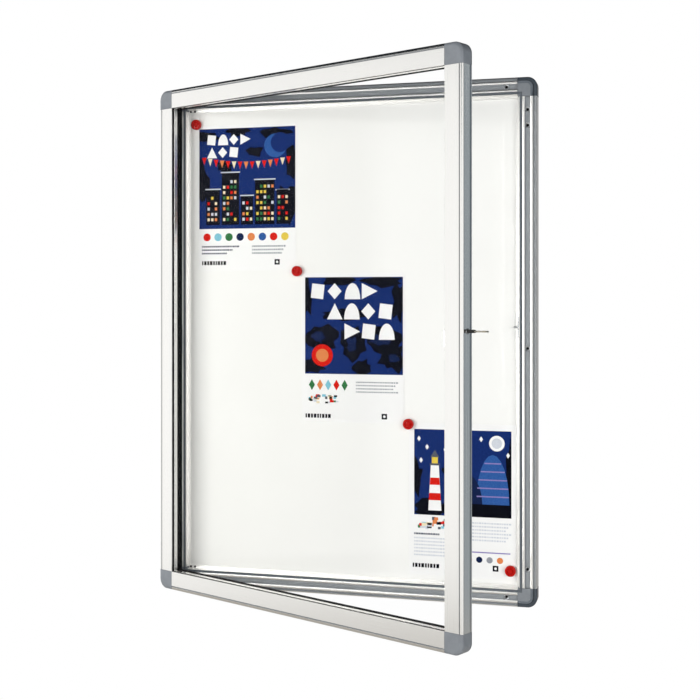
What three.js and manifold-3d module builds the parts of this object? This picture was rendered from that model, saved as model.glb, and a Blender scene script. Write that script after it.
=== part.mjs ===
// Lockable wall notice board: a shallow case with a magnetic white panel and a side hung glazed door.
// Millimetres, +Z up, front towards -Y. The origin is the middle of the flat back that meets the wall.
// The door stands ajar, the key is in the lock, and three sheets hang under four round magnets.
import * as THREE from "three";
import { mergeVertices } from "three/addons/utils/BufferGeometryUtils.js";
import Module from "manifold-3d";

const wasm = await Module();
wasm.setup();

// Driving dimensions of the whole board
const boardWidth = 750;
const boardHeight = 1010;
const caseDepth = 28;
const doorDepth = 27;
const doorGap = 3;
const doorAjar = THREE.MathUtils.degToRad(25);

// Profiles and corner pieces
const faceWidth = 37;
const cornerRadius = 20;
const wall = 1.8;
const fit = 0.3;
const overrun = 5;

// Rounded bead along the outer edge, with the groove beside it
const beadWidth = 6.1;
const beadDepth = 4;
const grooveWidth = 1.8;
const grooveDepth = 1.8;

// Door profile and the plugs of its corner pieces
const doorBackRadius = 1;
const doorSpigotLength = 40;
const doorLip = 1.8;
const glassThickness = 3;
const gasketWall = 0.9;
const rebateDepth = 8;
const doorSealWidth = 4.3;
const doorSealDepth = 11;
const doorSealProud = 2;

// Case profile and the short plugs of its corner pieces, which end before the fixing holes
const caseSpigotLength = 17;
const rimDrop = 1.2;
const rimWidth = 5.2;
const rimDepth = 4;
const rimGroove = 2.2;
const ridgeWidth = 5.4;
const channelWidth = 10.2;
const channelDepth = 3.4;
const sealSlotWidth = 4.4;
const sealSlotDepth = 5;
const sealProud = 0.8;
const sillWall = 1.8;
const flangeWidth = 5.3;
const flangeDepth = 10;
const flangeThickness = 1.6;

// Back panel
const sheetThickness = 1;
const backThickness = 0.7;

// Wall fixing holes through the case, measured from the board's outer corners
const fixingBore = 5.5;
const railFixingInset = 58;
const stileTopFixingInset = 62;
const stileSpareFixingInset = 92;
const stileBottomFixingInset = 73;
const stileMiddleFixingDrop = 12;

// Hinges
const hingeCount = 3;
const hingeHeight = 60;
const hingeSpreadShare = 0.4;
const hingeReach = 27;
const hingeLeaf = 1;
const knuckleRadius = 2.6;
const hingePinRadius = 1.35;
const pinHeadHeight = 1.2;
const hingeScrewRise = 20;

// Countersunk screws for the hinges and the lock keeper
const screwHeadRadius = 2.2;
const screwShankRadius = 1.2;
const screwLength = 6;

// Screws through the case flange beside the hinged corners
const flangeScrewInset = 41;
const flangeScrewPitch = 9;
const flangeScrewHeadRadius = 2.2;
const flangeScrewHeadHeight = 1.4;
const flangeScrewLength = 12;

// Lock, cam and keeper
const lockRise = 28.4;
const lockAxisDepth = 14.5;
const lockNoseRadius = 4.7;
const lockNoseProud = 0.8;
const lockBodyRadius = 5.6;
const lockBodyLength = 22;
const lockTailRadius = 4.6;
const lockTailProud = 3.2;
const lockNutRadius = 5.9;
const lockNutThickness = 2.4;
const plugRadius = 3.6;
const plugTailProud = 4.2;
const camThickness = 2;
const camHubRadius = 5.4;
const camArmInner = 2.4;
const camArmOuter = 7.6;
const camFinger = 2.4;
const camFingerReach = 2.4;
const camScrewHeadRadius = 2.9;
const camScrewHeadHeight = 1.8;
const camScrewRadius = 1.3;
const camScrewLength = 7;
const keeperHeight = 40;
const keeperThickness = 1.5;
const keeperFront = 1.2;
const keeperScrewRise = 14;
const keeperScrewDepth = 7.6;
const keeperScrewLength = 4.5;
const studRadius = 1.8;
const studDepth = 4.9;
const studLength = 8.7;

// Key
const keyThickness = 1.8;
const keyBladeWidth = 5.2;
const keyBladeLength = 25;
const keyBowStart = 17.5;
const keyBowLength = 22;
const keyBowThickness = 2.6;
const keyBowWidth = 18;
const keyBowHole = 1.9;
const keyBowHoleShare = 0.7;
const keyGripStart = 1;
const keyGripLength = 12.5;
const keyGripWidth = 9;
const keyGripThickness = 5.6;

// Paper sheets and magnets
const paperWidth = 210;
const paperHeight = 297;
const paperThickness = 0.3;
const sheetMarginLeft = 17;
const sheetMarginRight = 1;
const sheetMarginTop = 27.6;
const sheetMarginBottom = 8.8;
const sheetMiddleShift = 1.5;
const sheetMiddleDrop = 4.7;
const magnetRadius = 10.5;
const magnetHeight = 7.5;
const magnetWall = 1.6;
const magnetOffsets = [[-3.4, 2.9], [3.6, -2.2], [9.5, 0]];
const lastMagnetRise = 17.8;
const ferriteThickness = 4;

// Counts of sides on round parts
const smoothSides = 24;
const smallSides = 12;
const nutSides = 6;
const edgeSteps = 5;
const cornerSteps = 8;

// Places worked out from the driving dimensions
const halfWidth = boardWidth / 2;
const halfHeight = boardHeight / 2;
const glazingSlot = glassThickness + 2 * gasketWall + 4 * fit;
const rebateBack = doorLip + glazingSlot;
const ridgeStart = rimWidth + rimGroove;
const channelStart = ridgeStart + ridgeWidth;
const channelEnd = channelStart + channelWidth;
const slotStart = channelEnd + ridgeWidth;
const slotEnd = slotStart + sealSlotWidth;
const caseInner = slotEnd + sillWall;
const panelFront = flangeDepth + flangeThickness + fit;
const panelInset = caseInner + fit;
const axisOut = knuckleRadius + fit;
const axisX = -halfWidth - axisOut;
const axisY = -caseDepth - doorGap / 2;
const camInset = faceWidth + plugTailProud + fit;
const studReach = doorDepth - lockAxisDepth + doorGap + studDepth;

// Finishes
const finish = (color, roughness, metalness) =>
  new THREE.MeshStandardMaterial({ color, roughness, metalness });
const aluminium = finish(0xe4e1da, 0.38, 0.75);
const cornerPlastic = finish(0x7d8792, 0.45, 0);
const enamel = finish(0xf7f7f4, 0.15, 0);
const board = finish(0xb59a72, 0.9, 0);
const zincSheet = finish(0xb9bdbf, 0.4, 0.9);
const darkRubber = finish(0x30363a, 0.8, 0);
const blackRubber = finish(0x141516, 0.75, 0);
const steel = finish(0xb7babd, 0.35, 1);
const darkSteel = finish(0x2a2c2e, 0.45, 0.8);
const glass = finish(0xeef3f2, 0.05, 0);
const nickel = finish(0xa6a08a, 0.3, 1);
const blackPlastic = finish(0x0d0d0e, 0.4, 0);
const redPlastic = finish(0xc41410, 0.3, 0);
const ferrite = finish(0x26272a, 0.7, 0.2);
const paper = finish(0xffffff, 0.7, 0);

// A closed three.js geometry as a solid that can be joined and cut
function solid(geometry) {
  const bare = geometry.index ? geometry.toNonIndexed() : geometry.clone();
  for (const name of Object.keys(bare.attributes)) {
    if (name !== "position") bare.deleteAttribute(name);
  }
  const merged = mergeVertices(bare);
  return new wasm.Manifold(new wasm.Mesh({
    numProp: 3,
    vertProperties: Float32Array.from(merged.attributes.position.array),
    triVerts: Uint32Array.from(merged.index.array),
  }));
}

function block(x0, x1, y0, y1, z0, z1) {
  const shape = new THREE.BoxGeometry(x1 - x0, y1 - y0, z1 - z0);
  shape.translate((x0 + x1) / 2, (y0 + y1) / 2, (z0 + z1) / 2);
  return solid(shape);
}

// A body of revolution from [radius, height] points, about Y from the origin
function turned(points, sides) {
  return solid(new THREE.LatheGeometry(points.map(([r, h]) => new THREE.Vector2(r, h)), sides));
}

function rod(radius, from, to, sides) {
  return turned([[0, from], [radius, from], [radius, to], [0, to]], sides);
}

function turnedTo(part, direction) {
  const turn = new THREE.Quaternion().setFromUnitVectors(new THREE.Vector3(0, 1, 0), direction);
  return placed(part, new THREE.Matrix4().makeRotationFromQuaternion(turn));
}

function placed(part, matrix) {
  return part.transform(matrix.elements);
}

function moved(part, x, y, z) {
  return part.translate([x, y, z]);
}

function joined(parts) {
  return parts.reduce((whole, part) => whole.add(part));
}

function outline(points) {
  return new THREE.Shape(points.map(([x, y]) => new THREE.Vector2(x, y)));
}

function extruded(shape, depth) {
  return solid(new THREE.ExtrudeGeometry(shape, { depth, bevelEnabled: false, curveSegments: smallSides }));
}

// A named mesh made of one or more separate solids
function mesh(name, part, material) {
  const { vertProperties, triVerts } = part.getMesh();
  const geometry = new THREE.BufferGeometry();
  geometry.setAttribute("position", new THREE.BufferAttribute(Float32Array.from(vertProperties), 3));
  geometry.setIndex(new THREE.BufferAttribute(Uint32Array.from(triVerts), 1));
  geometry.computeVertexNormals();
  const piece = new THREE.Mesh(geometry, material);
  piece.name = name;
  return piece;
}

const toFront = new THREE.Vector3(0, -1, 0);
const toBack = new THREE.Vector3(0, 1, 0);
const toRight = new THREE.Vector3(1, 0, 0);
const toLeft = new THREE.Vector3(-1, 0, 0);
const upwards = new THREE.Vector3(0, 0, 1);

// Points on a quarter of an ellipse, from one angle to another in quarter turns
function quarterRound(x, y, across, deep, start, end) {
  const points = [];
  for (let i = 0; i <= edgeSteps; i += 1) {
    const angle = (start + ((end - start) * i) / edgeSteps) * (Math.PI / 2);
    points.push([x + across * Math.cos(angle), y + deep * Math.sin(angle)]);
  }
  return points;
}

// The four sides of a frame: quarter turns about Y of a bar that stands at the left
const sides = {
  left: { quarter: 0, half: halfWidth, length: boardHeight },
  top: { quarter: 1, half: halfHeight, length: boardWidth },
  right: { quarter: 2, half: halfWidth, length: boardHeight },
  bottom: { quarter: 3, half: halfHeight, length: boardWidth },
};

// The four corners: quarter turns of the bottom left one, with their places
const corners = {
  bottom_left: { quarter: 0, x: -halfWidth, z: -halfHeight },
  top_left: { quarter: 1, x: -halfWidth, z: halfHeight },
  top_right: { quarter: 2, x: halfWidth, z: halfHeight },
  bottom_right: { quarter: 3, x: halfWidth, z: -halfHeight },
};

// Door profile, drawn as inset from the outer edge and depth from the front
function doorProfile() {
  const sealFront = doorDepth - doorSealDepth;
  const sealSide = faceWidth - doorSealWidth;
  const backMiddle = doorDepth - doorBackRadius;
  return outline([
    ...quarterRound(beadWidth, beadDepth, beadWidth, beadDepth, 2, 3),
    [beadWidth, grooveDepth],
    [beadWidth + grooveWidth, grooveDepth],
    [beadWidth + grooveWidth, 0],
    [faceWidth, 0],
    [faceWidth, doorLip],
    [faceWidth - rebateDepth, doorLip],
    [faceWidth - rebateDepth, rebateBack],
    [faceWidth, rebateBack],
    [faceWidth, sealFront],
    [sealSide, sealFront],
    [sealSide, doorDepth],
    ...quarterRound(doorBackRadius, backMiddle, doorBackRadius, doorBackRadius, 1, 2),
  ]);
}

function doorHollow() {
  const front = grooveDepth + wall;
  const back = doorDepth - wall;
  const innerRight = faceWidth - rebateDepth - wall;
  return outline([
    [wall, beadDepth + wall],
    [beadWidth, front],
    [innerRight, front],
    [innerRight, rebateBack + wall],
    [faceWidth - wall, rebateBack + wall],
    [faceWidth - wall, doorDepth - doorSealDepth - wall],
    [faceWidth - doorSealWidth - wall, doorDepth - doorSealDepth - wall],
    [faceWidth - doorSealWidth - wall, back],
    [wall, back],
  ]);
}

// Case profile: rim, groove, ridge, channel, ridge, seal slot, sill and the flange before the panel
function caseProfile() {
  return outline([
    ...quarterRound(rimWidth, rimDrop + rimDepth, rimWidth, rimDepth, 2, 3),
    [rimWidth, rimDrop + grooveDepth],
    [ridgeStart, rimDrop + grooveDepth],
    [ridgeStart, 0],
    [channelStart, 0],
    [channelStart, channelDepth],
    [channelEnd, channelDepth],
    [channelEnd, 0],
    [slotStart, 0],
    [slotStart, sealSlotDepth],
    [slotEnd, sealSlotDepth],
    [slotEnd, rimDrop / 2],
    [caseInner, rimDrop / 2],
    [caseInner, flangeDepth],
    [caseInner + flangeWidth, flangeDepth],
    [caseInner + flangeWidth, flangeDepth + flangeThickness],
    [caseInner, flangeDepth + flangeThickness],
    [caseInner, caseDepth],
    [0, caseDepth],
  ]);
}

function caseHollow() {
  const back = caseDepth - wall;
  const front = Math.max(channelDepth, rimDrop + grooveDepth) + wall;
  return outline([
    [wall, rimDrop + rimDepth + wall],
    [rimWidth, front],
    [slotStart - wall, front],
    [slotStart - wall, sealSlotDepth + wall],
    [caseInner - wall, sealSlotDepth + wall],
    [caseInner - wall, back],
    [wall, back],
  ]);
}

// A hollow bar of a profile, standing upright at the left and centred on its length
function bar(profile, hollow, length) {
  const skin = extruded(profile, length);
  const core = moved(extruded(hollow, length + 2 * overrun), 0, 0, -overrun);
  return moved(skin.subtract(core), 0, 0, -length / 2);
}

function barLength(side) {
  return side.length - 2 * (faceWidth + fit);
}

// Turns a solid that stands at the left into its place on one side of a frame
function onSide(part, side) {
  const turn = new THREE.Matrix4().makeRotationY((side.quarter * Math.PI) / 2);
  return placed(moved(part, -side.half, 0, 0), turn);
}

// A rectangular ring, given by its outer and inner inset from the board's edge
function ring(outerInset, innerInset, front, back) {
  const frame = block(-halfWidth + outerInset, halfWidth - outerInset, front, back,
    -halfHeight + outerInset, halfHeight - outerInset);
  const hole = block(-halfWidth + innerInset, halfWidth - innerInset, front - overrun, back + overrun,
    -halfHeight + innerInset, halfHeight - innerInset);
  return frame.subtract(hole);
}

// Plan of a corner piece from an inset to its far side, with its outer corner rounded
function cornerPlan(inset, radius, far) {
  const shape = new THREE.Shape();
  shape.moveTo(inset + radius, inset);
  shape.lineTo(far, inset);
  shape.lineTo(far, far);
  shape.lineTo(inset, far);
  shape.lineTo(inset, inset + radius);
  shape.absarc(inset + radius, inset + radius, radius, Math.PI, 1.5 * Math.PI, false);
  return shape;
}

// Turns a plan drawn in X and Y into one in X and Z, with its depth along Y
const planUpright = new THREE.Matrix4().set(1, 0, 0, 0, 0, 0, 1, 0, 0, 1, 0, 0, 0, 0, 0, 1);

// A block over a corner's plan that starts at zero depth with its outer edge rounded over
function roundedPlan(across, deep, depth) {
  const rounded = new THREE.ExtrudeGeometry(cornerPlan(0, cornerRadius, 2 * faceWidth), {
    depth,
    bevelEnabled: true,
    bevelThickness: deep,
    bevelSize: across,
    bevelOffset: -across,
    bevelSegments: edgeSteps,
    curveSegments: cornerSteps,
  });
  rounded.translate(0, 0, deep);
  return placed(solid(rounded), planUpright);
}

// The outer corner of a frame, rounded over at the front
function cornerBlock(front, depth, across, deep) {
  return moved(roundedPlan(across, deep, depth), 0, front, 0)
    .intersect(block(0, faceWidth, front, front + depth, 0, faceWidth));
}

// Two spigots that plug into the rail ends, along X and along Z
function spigots(from, to, front, back, length) {
  const start = faceWidth - overrun;
  const end = faceWidth + length;
  const along = block(start, end, front, back, from, to);
  const up = block(from, to, front, back, start, end);
  return along.add(up);
}

// Door corner piece with the glazing rebate and the seal notch carried round its inner tip
function doorCorner() {
  const turnedBack = new THREE.Matrix4().makeScale(1, -1, 1);
  const roundBack = placed(roundedPlan(doorBackRadius, doorBackRadius, doorDepth), turnedBack);
  const rear = moved(roundBack, 0, doorDepth, 0);
  const shell = cornerBlock(0, doorDepth, beadWidth, beadDepth).intersect(rear);
  const plugInner = faceWidth - rebateDepth - wall - fit;
  const plugFront = beadDepth + wall + fit;
  const plugBack = doorDepth - screwLength - wall;
  const plugs = spigots(wall + fit, plugInner, plugFront, plugBack, doorSpigotLength);
  const rebate = block(faceWidth - rebateDepth, faceWidth + overrun, doorLip, rebateBack,
    faceWidth - rebateDepth, faceWidth + overrun);
  const sealFrom = faceWidth - doorSealWidth;
  const notch = block(sealFrom, faceWidth + overrun, doorDepth - doorSealDepth, doorDepth + overrun,
    sealFrom, faceWidth + overrun);
  return joined([shell, plugs]).subtract(rebate).subtract(notch);
}

// Case corner piece: a low outer rim, a raised inner pad, the slot for the seal and a foot for the flanges
function caseCorner() {
  const rim = cornerBlock(rimDrop, caseDepth - rimDrop, rimWidth, rimDepth);
  const padPlan = cornerPlan(ridgeStart, cornerRadius - ridgeStart, faceWidth);
  const pad = placed(extruded(padPlan, rimDrop + overrun), planUpright);
  const plugs = spigots(wall + fit, caseInner - wall - fit, sealSlotDepth + wall + fit,
    caseDepth - wall - fit, caseSpigotLength);
  const slot = block(slotStart, faceWidth + overrun, -overrun, sealSlotDepth, slotStart, slotEnd)
    .add(block(slotStart, slotEnd, -overrun, sealSlotDepth, slotStart, faceWidth + overrun));
  const tip = (front, back) => block(caseInner, faceWidth + overrun, front, back,
    caseInner, faceWidth + overrun);
  const inside = tip(-overrun, flangeDepth).add(tip(flangeDepth + flangeThickness, caseDepth + overrun));
  return joined([rim, pad]).subtract(slot).subtract(inside).add(plugs);
}

// Four corner pieces of one frame, each a quarter turn of the bottom left one
function cornerPieces(prefix, make) {
  return Object.entries(corners).map(([name, place]) => {
    const piece = mesh(`${prefix}_corner_${name}`, make(), cornerPlastic);
    piece.position.set(place.x, 0, place.z);
    piece.rotation.y = (place.quarter * Math.PI) / 2;
    return piece;
  });
}

// Wall fixing places on the case, as inset along each side from its lower or left end
const fixings = {
  left: [stileBottomFixingInset, halfHeight - stileMiddleFixingDrop, boardHeight - stileTopFixingInset],
  right: [
    stileBottomFixingInset,
    halfHeight - stileMiddleFixingDrop,
    boardHeight - stileSpareFixingInset,
    boardHeight - stileTopFixingInset,
  ],
  top: [railFixingInset, boardWidth - railFixingInset],
  bottom: [railFixingInset, boardWidth - railFixingInset],
};

// Places of the fixings on one side, in the case's own X and Z
function fixingPlaces(name) {
  const channelMiddle = (channelStart + channelEnd) / 2;
  const sign = { left: -1, right: 1, top: 1, bottom: -1 }[name];
  return fixings[name].map((inset) => (name === "left" || name === "right"
    ? [sign * (halfWidth - channelMiddle), inset - halfHeight]
    : [inset - halfWidth, sign * (halfHeight - channelMiddle)]));
}

function flangeScrewPlaces() {
  const places = [];
  for (const sign of [-1, 1]) {
    for (const step of [0, 1]) {
      places.push([
        -halfWidth + flangeScrewInset + step * flangeScrewPitch,
        sign * (halfHeight - caseInner - flangeWidth / 2),
      ]);
    }
  }
  return places;
}

// A round hole through the depth of the case at a place on its front
function frontHole(radius, x, z) {
  return moved(turnedTo(rod(radius, -caseDepth - overrun, overrun, smallSides), toFront), x, 0, z);
}

function caseBar(name) {
  const side = sides[name];
  let part = onSide(bar(caseProfile(), caseHollow(), barLength(side)), side);
  for (const [x, z] of fixingPlaces(name)) {
    part = part.subtract(frontHole(fixingBore / 2, x, z));
  }
  for (const [x, z] of flangeScrewPlaces()) {
    part = part.subtract(frontHole(screwShankRadius + fit, x, z));
  }
  if (side.half === halfWidth) {
    const inner = halfWidth - faceWidth;
    const end = halfHeight - caseInner - flangeWidth - fit;
    part = part.subtract(block(-inner, inner, -overrun, caseDepth + overrun, end, halfHeight));
    part = part.subtract(block(-inner, inner, -overrun, caseDepth + overrun, -halfHeight, -end));
  }
  return part;
}

function caseFrame() {
  const bars = { top: "case_top_rail", bottom: "case_bottom_rail", left: "case_left_stile",
    right: "case_right_stile" };
  const pieces = Object.entries(bars).map(([name, node]) =>
    mesh(node, withCaseScrewHoles(name), aluminium));
  return [...pieces, ...cornerPieces("case", caseCorner)];
}

// Screw places of the hinge leaves, as inset from the board's edge and rise from the leaf's middle
const hingeScrews = [
  [ridgeStart + ridgeWidth / 2, hingeScrewRise],
  [ridgeStart + ridgeWidth / 2, -hingeScrewRise],
  [channelEnd + ridgeWidth / 2, 0],
];

const hingeHeights = Array.from({ length: hingeCount }, (_, i) =>
  boardHeight * hingeSpreadShare * ((2 * i) / (hingeCount - 1) - 1));

// Hole for the shank of a hinge screw, from the face at the origin
function screwHole(facing) {
  return turnedTo(rod(screwShankRadius + fit, -screwLength - overrun, overrun, smallSides), facing);
}

// Shank holes for the hinge screws and the keeper screws
function withCaseScrewHoles(name) {
  let part = caseBar(name);
  if (name === "left") {
    for (const height of hingeHeights) {
      for (const [inset, rise] of hingeScrews) {
        part = part.subtract(moved(screwHole(toFront), -halfWidth + inset, 0, height + rise));
      }
    }
  }
  if (name === "right") {
    for (const rise of [-keeperScrewRise, keeperScrewRise]) {
      const hole = turnedTo(rod(screwShankRadius + fit, -keeperScrewLength, keeperScrewLength, smallSides),
        toLeft);
      part = part.subtract(moved(hole, halfWidth - caseInner, keeperScrewDepth, lockRise + rise));
    }
  }
  return part;
}

// Rubber strip round the case opening, proud of the ridges
function caseSeal() {
  return ring(slotStart + fit, slotEnd - fit, -sealProud, sealSlotDepth - fit);
}

// Enamelled steel sheet, fibre core and plain steel back
function panel() {
  const layer = (front, back) => block(-halfWidth + panelInset, halfWidth - panelInset, front, back,
    -halfHeight + panelInset, halfHeight - panelInset);
  const coreFront = panelFront + sheetThickness + fit;
  const backFront = caseDepth - backThickness;
  let sheet = layer(panelFront, panelFront + sheetThickness);
  let core = layer(coreFront, backFront - fit);
  for (const [x, z] of flangeScrewPlaces()) {
    const hole = frontHole(screwShankRadius + fit, x, z);
    sheet = sheet.subtract(hole);
    core = core.subtract(hole);
  }
  return [
    mesh("panel_sheet", sheet, enamel),
    mesh("panel_core", core, board),
    mesh("panel_back_sheet", layer(backFront, caseDepth), zincSheet),
  ];
}

function panHeadScrew(x, z) {
  const head = flangeDepth - fit;
  const screw = turned([
    [0, -head - flangeScrewLength],
    [screwShankRadius, -head - flangeScrewLength],
    [screwShankRadius, -head],
    [flangeScrewHeadRadius, -head],
    [flangeScrewHeadRadius, -head + flangeScrewHeadHeight / 2],
    [flangeScrewHeadRadius - flangeScrewHeadHeight / 2, -head + flangeScrewHeadHeight],
    [0, -head + flangeScrewHeadHeight],
  ], smallSides);
  return moved(turnedTo(screw, toFront), x, 0, z);
}

// A countersunk screw whose head is flush at the origin and whose shank runs down -Y
function flatScrew(length, gap = 0) {
  return turned([
    [0, -length - gap],
    [screwShankRadius + gap, -length - gap],
    [screwShankRadius + gap, -hingeLeaf],
    [screwHeadRadius + gap, 0],
    [screwHeadRadius + gap, gap],
    [0, gap],
  ], smallSides);
}

// Keeper plate with its round stud, on the inner wall of the right stile
function keeper() {
  const face = halfWidth - caseInner - fit;
  const plate = block(face - keeperThickness, face, keeperFront, flangeDepth - fit,
    lockRise - keeperHeight / 2, lockRise + keeperHeight / 2);
  const stud = turnedTo(rod(studRadius, 0, studLength, smallSides), toLeft);
  let part = plate.add(moved(stud, face - keeperThickness / 2, studDepth, lockRise));
  const screws = [];
  for (const rise of [-keeperScrewRise, keeperScrewRise]) {
    const place = [face - keeperThickness, keeperScrewDepth, lockRise + rise];
    part = part.subtract(moved(turnedTo(flatScrew(keeperScrewLength, fit), toLeft), ...place));
    screws.push(moved(turnedTo(flatScrew(keeperScrewLength), toLeft), ...place));
  }
  const [lower, upper] = screws;
  return [
    mesh("keeper_plate", part, steel),
    mesh("keeper_screw_lower", lower, steel),
    mesh("keeper_screw_upper", upper, steel),
  ];
}

// One hinge leaf, drawn about the pin's axis with the leaf's face towards +Y or -Y
function hingeLeafPart(caseSide, height) {
  const third = hingeHeight / 3;
  const clear = knuckleRadius + 1.5 * fit;
  const near = caseSide ? doorGap / 2 - fit - hingeLeaf : fit + hingeLeaf - doorGap / 2;
  const far = caseSide ? doorGap / 2 - fit : fit - doorGap / 2;
  const y0 = Math.min(near, far);
  const y1 = Math.max(near, far);
  const knuckles = caseSide ? [-1, 1] : [0];
  let part = block(clear, hingeReach + axisOut, y0, y1, -hingeHeight / 2, hingeHeight / 2);
  for (const step of knuckles) {
    const end = third / 2 - fit / 2;
    const tube = turnedTo(rod(knuckleRadius, -end, end, smallSides), upwards);
    part = part.add(moved(tube, 0, 0, step * third));
    part = part.add(block(0, clear + overrun, y0, y1, step * third - end, step * third + end));
  }
  const bore = turnedTo(rod(hingePinRadius + fit, -hingeHeight, hingeHeight, smallSides),
    upwards);
  part = part.subtract(bore);
  const facing = caseSide ? toFront : toBack;
  for (const [inset, rise] of hingeScrews) {
    const cut = turnedTo(flatScrew(screwLength, fit), facing);
    part = part.subtract(moved(cut, inset + axisOut, near, rise));
  }
  return moved(part, 0, 0, height);
}

// Hinge pin with a small head at each end
function hingePin(height) {
  const half = hingeHeight / 2 + fit;
  const pin = turned([
    [0, -half - pinHeadHeight],
    [knuckleRadius - fit, -half - pinHeadHeight],
    [knuckleRadius - fit, -half],
    [hingePinRadius, -half],
    [hingePinRadius, half],
    [knuckleRadius - fit, half],
    [knuckleRadius - fit, half + pinHeadHeight],
    [0, half + pinHeadHeight],
  ], smallSides);
  return moved(turnedTo(pin, upwards), 0, 0, height);
}

const hingeNames = ["bottom", "middle", "top"];

function hingeLeaves(caseSide) {
  const owner = caseSide ? "case" : "door";
  return hingeHeights.map((height, i) =>
    mesh(`hinge_${hingeNames[i]}_${owner}_leaf`, hingeLeafPart(caseSide, height), steel));
}

// Bore for the lock's tail, from the middle of the right stile to past its inner wall
function lockTailBore() {
  const tail = rod(lockTailRadius + fit, -faceWidth - overrun, -faceWidth / 2, smoothSides);
  return moved(turnedTo(tail, toRight), halfWidth, lockAxisDepth, lockRise);
}

// Door rails and stiles, with holes for the hinge screws and the lock
function doorBar(name) {
  const side = sides[name];
  let part = onSide(bar(doorProfile(), doorHollow(), barLength(side)), side);
  if (name === "left") {
    for (const height of hingeHeights) {
      for (const [inset, rise] of hingeScrews) {
        part = part.subtract(moved(screwHole(toBack), -halfWidth + inset, doorDepth, height + rise));
      }
    }
  }
  if (name === "right") {
    const nose = rod(lockNoseRadius + fit, -faceWidth / 2, overrun, smoothSides);
    const noseBore = moved(turnedTo(nose, toRight), halfWidth, lockAxisDepth, lockRise);
    part = part.subtract(noseBore).subtract(lockTailBore());
  }
  return part;
}

function doorFrame() {
  const bars = { top: "door_top_rail", bottom: "door_bottom_rail", left: "door_left_stile",
    right: "door_right_stile" };
  const pieces = Object.entries(bars).map(([name, node]) => mesh(node, doorBar(name), aluminium));
  return [...pieces, ...cornerPieces("door", doorCorner)];
}

// Safety glass, its channel shaped gasket and the seal at the back of the door
function glazing() {
  const gasketOuter = faceWidth - rebateDepth + fit;
  const paneInset = gasketOuter + gasketWall + fit;
  const gasketFront = doorLip + fit;
  const gasketBack = rebateBack - fit;
  const paneFront = gasketFront + gasketWall + fit;
  const slot = block(-halfWidth + gasketOuter + gasketWall, halfWidth - gasketOuter - gasketWall,
    gasketFront + gasketWall, gasketBack - gasketWall,
    -halfHeight + gasketOuter + gasketWall, halfHeight - gasketOuter - gasketWall);
  const gasket = ring(gasketOuter, faceWidth - fit, gasketFront, gasketBack).subtract(slot);
  const pane = block(-halfWidth + paneInset, halfWidth - paneInset, paneFront, paneFront + glassThickness,
    -halfHeight + paneInset, halfHeight - paneInset);
  const seal = ring(faceWidth - doorSealWidth + fit, faceWidth - fit, doorDepth - doorSealDepth + fit,
    doorDepth + doorSealProud);
  return [
    mesh("glazing_pane", pane, glass),
    mesh("glazing_gasket", gasket, blackRubber),
    mesh("door_seal", seal.subtract(lockTailBore()), blackRubber),
  ];
}

// Lock barrel, stepped so that it is held between the stile's side wall and its nut
function lockBarrel() {
  const bore = plugRadius + fit;
  const bodyStart = wall + fit;
  const bodyEnd = bodyStart + lockBodyLength;
  const barrel = turned([
    [bore, lockNoseProud],
    [bore, -(faceWidth + lockTailProud)],
    [lockTailRadius, -(faceWidth + lockTailProud)],
    [lockTailRadius, -bodyEnd],
    [lockBodyRadius, -bodyEnd],
    [lockBodyRadius, -bodyStart],
    [lockNoseRadius, -bodyStart],
    [lockNoseRadius, lockNoseProud],
    [bore, lockNoseProud],
  ], smoothSides);
  const nutStart = faceWidth + fit;
  const nutBore = rod(lockTailRadius + fit, -nutStart - lockNutThickness - overrun, overrun, smoothSides);
  const nut = rod(lockNutRadius, -nutStart - lockNutThickness, -nutStart, nutSides).subtract(nutBore);
  return [
    mesh("lock_barrel", turnedTo(barrel, toRight), steel),
    mesh("lock_nut", turnedTo(nut, toRight), steel),
  ];
}

// Plug with its keyway, cam and cam screw, about the lock's own axis, which points out of the door
function lockPlug() {
  const tail = faceWidth + plugTailProud;
  const slotY = keyBladeWidth / 2 + fit;
  const slotZ = keyThickness / 2 + fit;
  const keyway = block(-keyBladeLength - overrun, overrun, -slotY, slotY, -slotZ, slotZ);
  const screwBore = turnedTo(rod(camScrewRadius + fit, -tail - overrun, -tail + camScrewLength, smallSides),
    toRight);
  const plug = turnedTo(rod(plugRadius, -tail, lockNoseProud, smoothSides), toRight)
    .subtract(keyway).subtract(screwBore);
  const camFar = studReach + studRadius + 2 * fit;
  const camShape = outline([
    [0, -camArmOuter],
    [camFar + camFinger, -camArmOuter],
    [camFar + camFinger, camFingerReach],
    [camFar, camFingerReach],
    [camFar, -camArmInner],
    [0, -camArmInner],
  ]);
  const hub = turnedTo(rod(camHubRadius, 0, camThickness, smoothSides), upwards);
  const flatCam = extruded(camShape, camThickness).add(hub);
  const camBore = turnedTo(rod(camScrewRadius + fit, -overrun, camThickness + overrun, smallSides),
    upwards);
  const hanging = new THREE.Matrix4().set(0, 0, 1, 0, 0, 1, 0, 0, -1, 0, 0, 0, 0, 0, 0, 1);
  const cam = moved(placed(flatCam.subtract(camBore), hanging), -camInset - camThickness, 0, 0);
  const headStart = camInset + camThickness + fit;
  const camScrew = turned([
    [0, -headStart - camScrewHeadHeight],
    [camScrewHeadRadius, -headStart - camScrewHeadHeight],
    [camScrewHeadRadius, -headStart],
    [camScrewRadius, -headStart],
    [camScrewRadius, -tail + camScrewLength - fit],
    [0, -tail + camScrewLength - fit],
  ], smallSides);
  return [
    mesh("lock_plug", plug, nickel),
    mesh("lock_cam", cam, steel),
    mesh("cam_screw", turnedTo(camScrew, toRight), steel),
  ];
}

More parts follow.
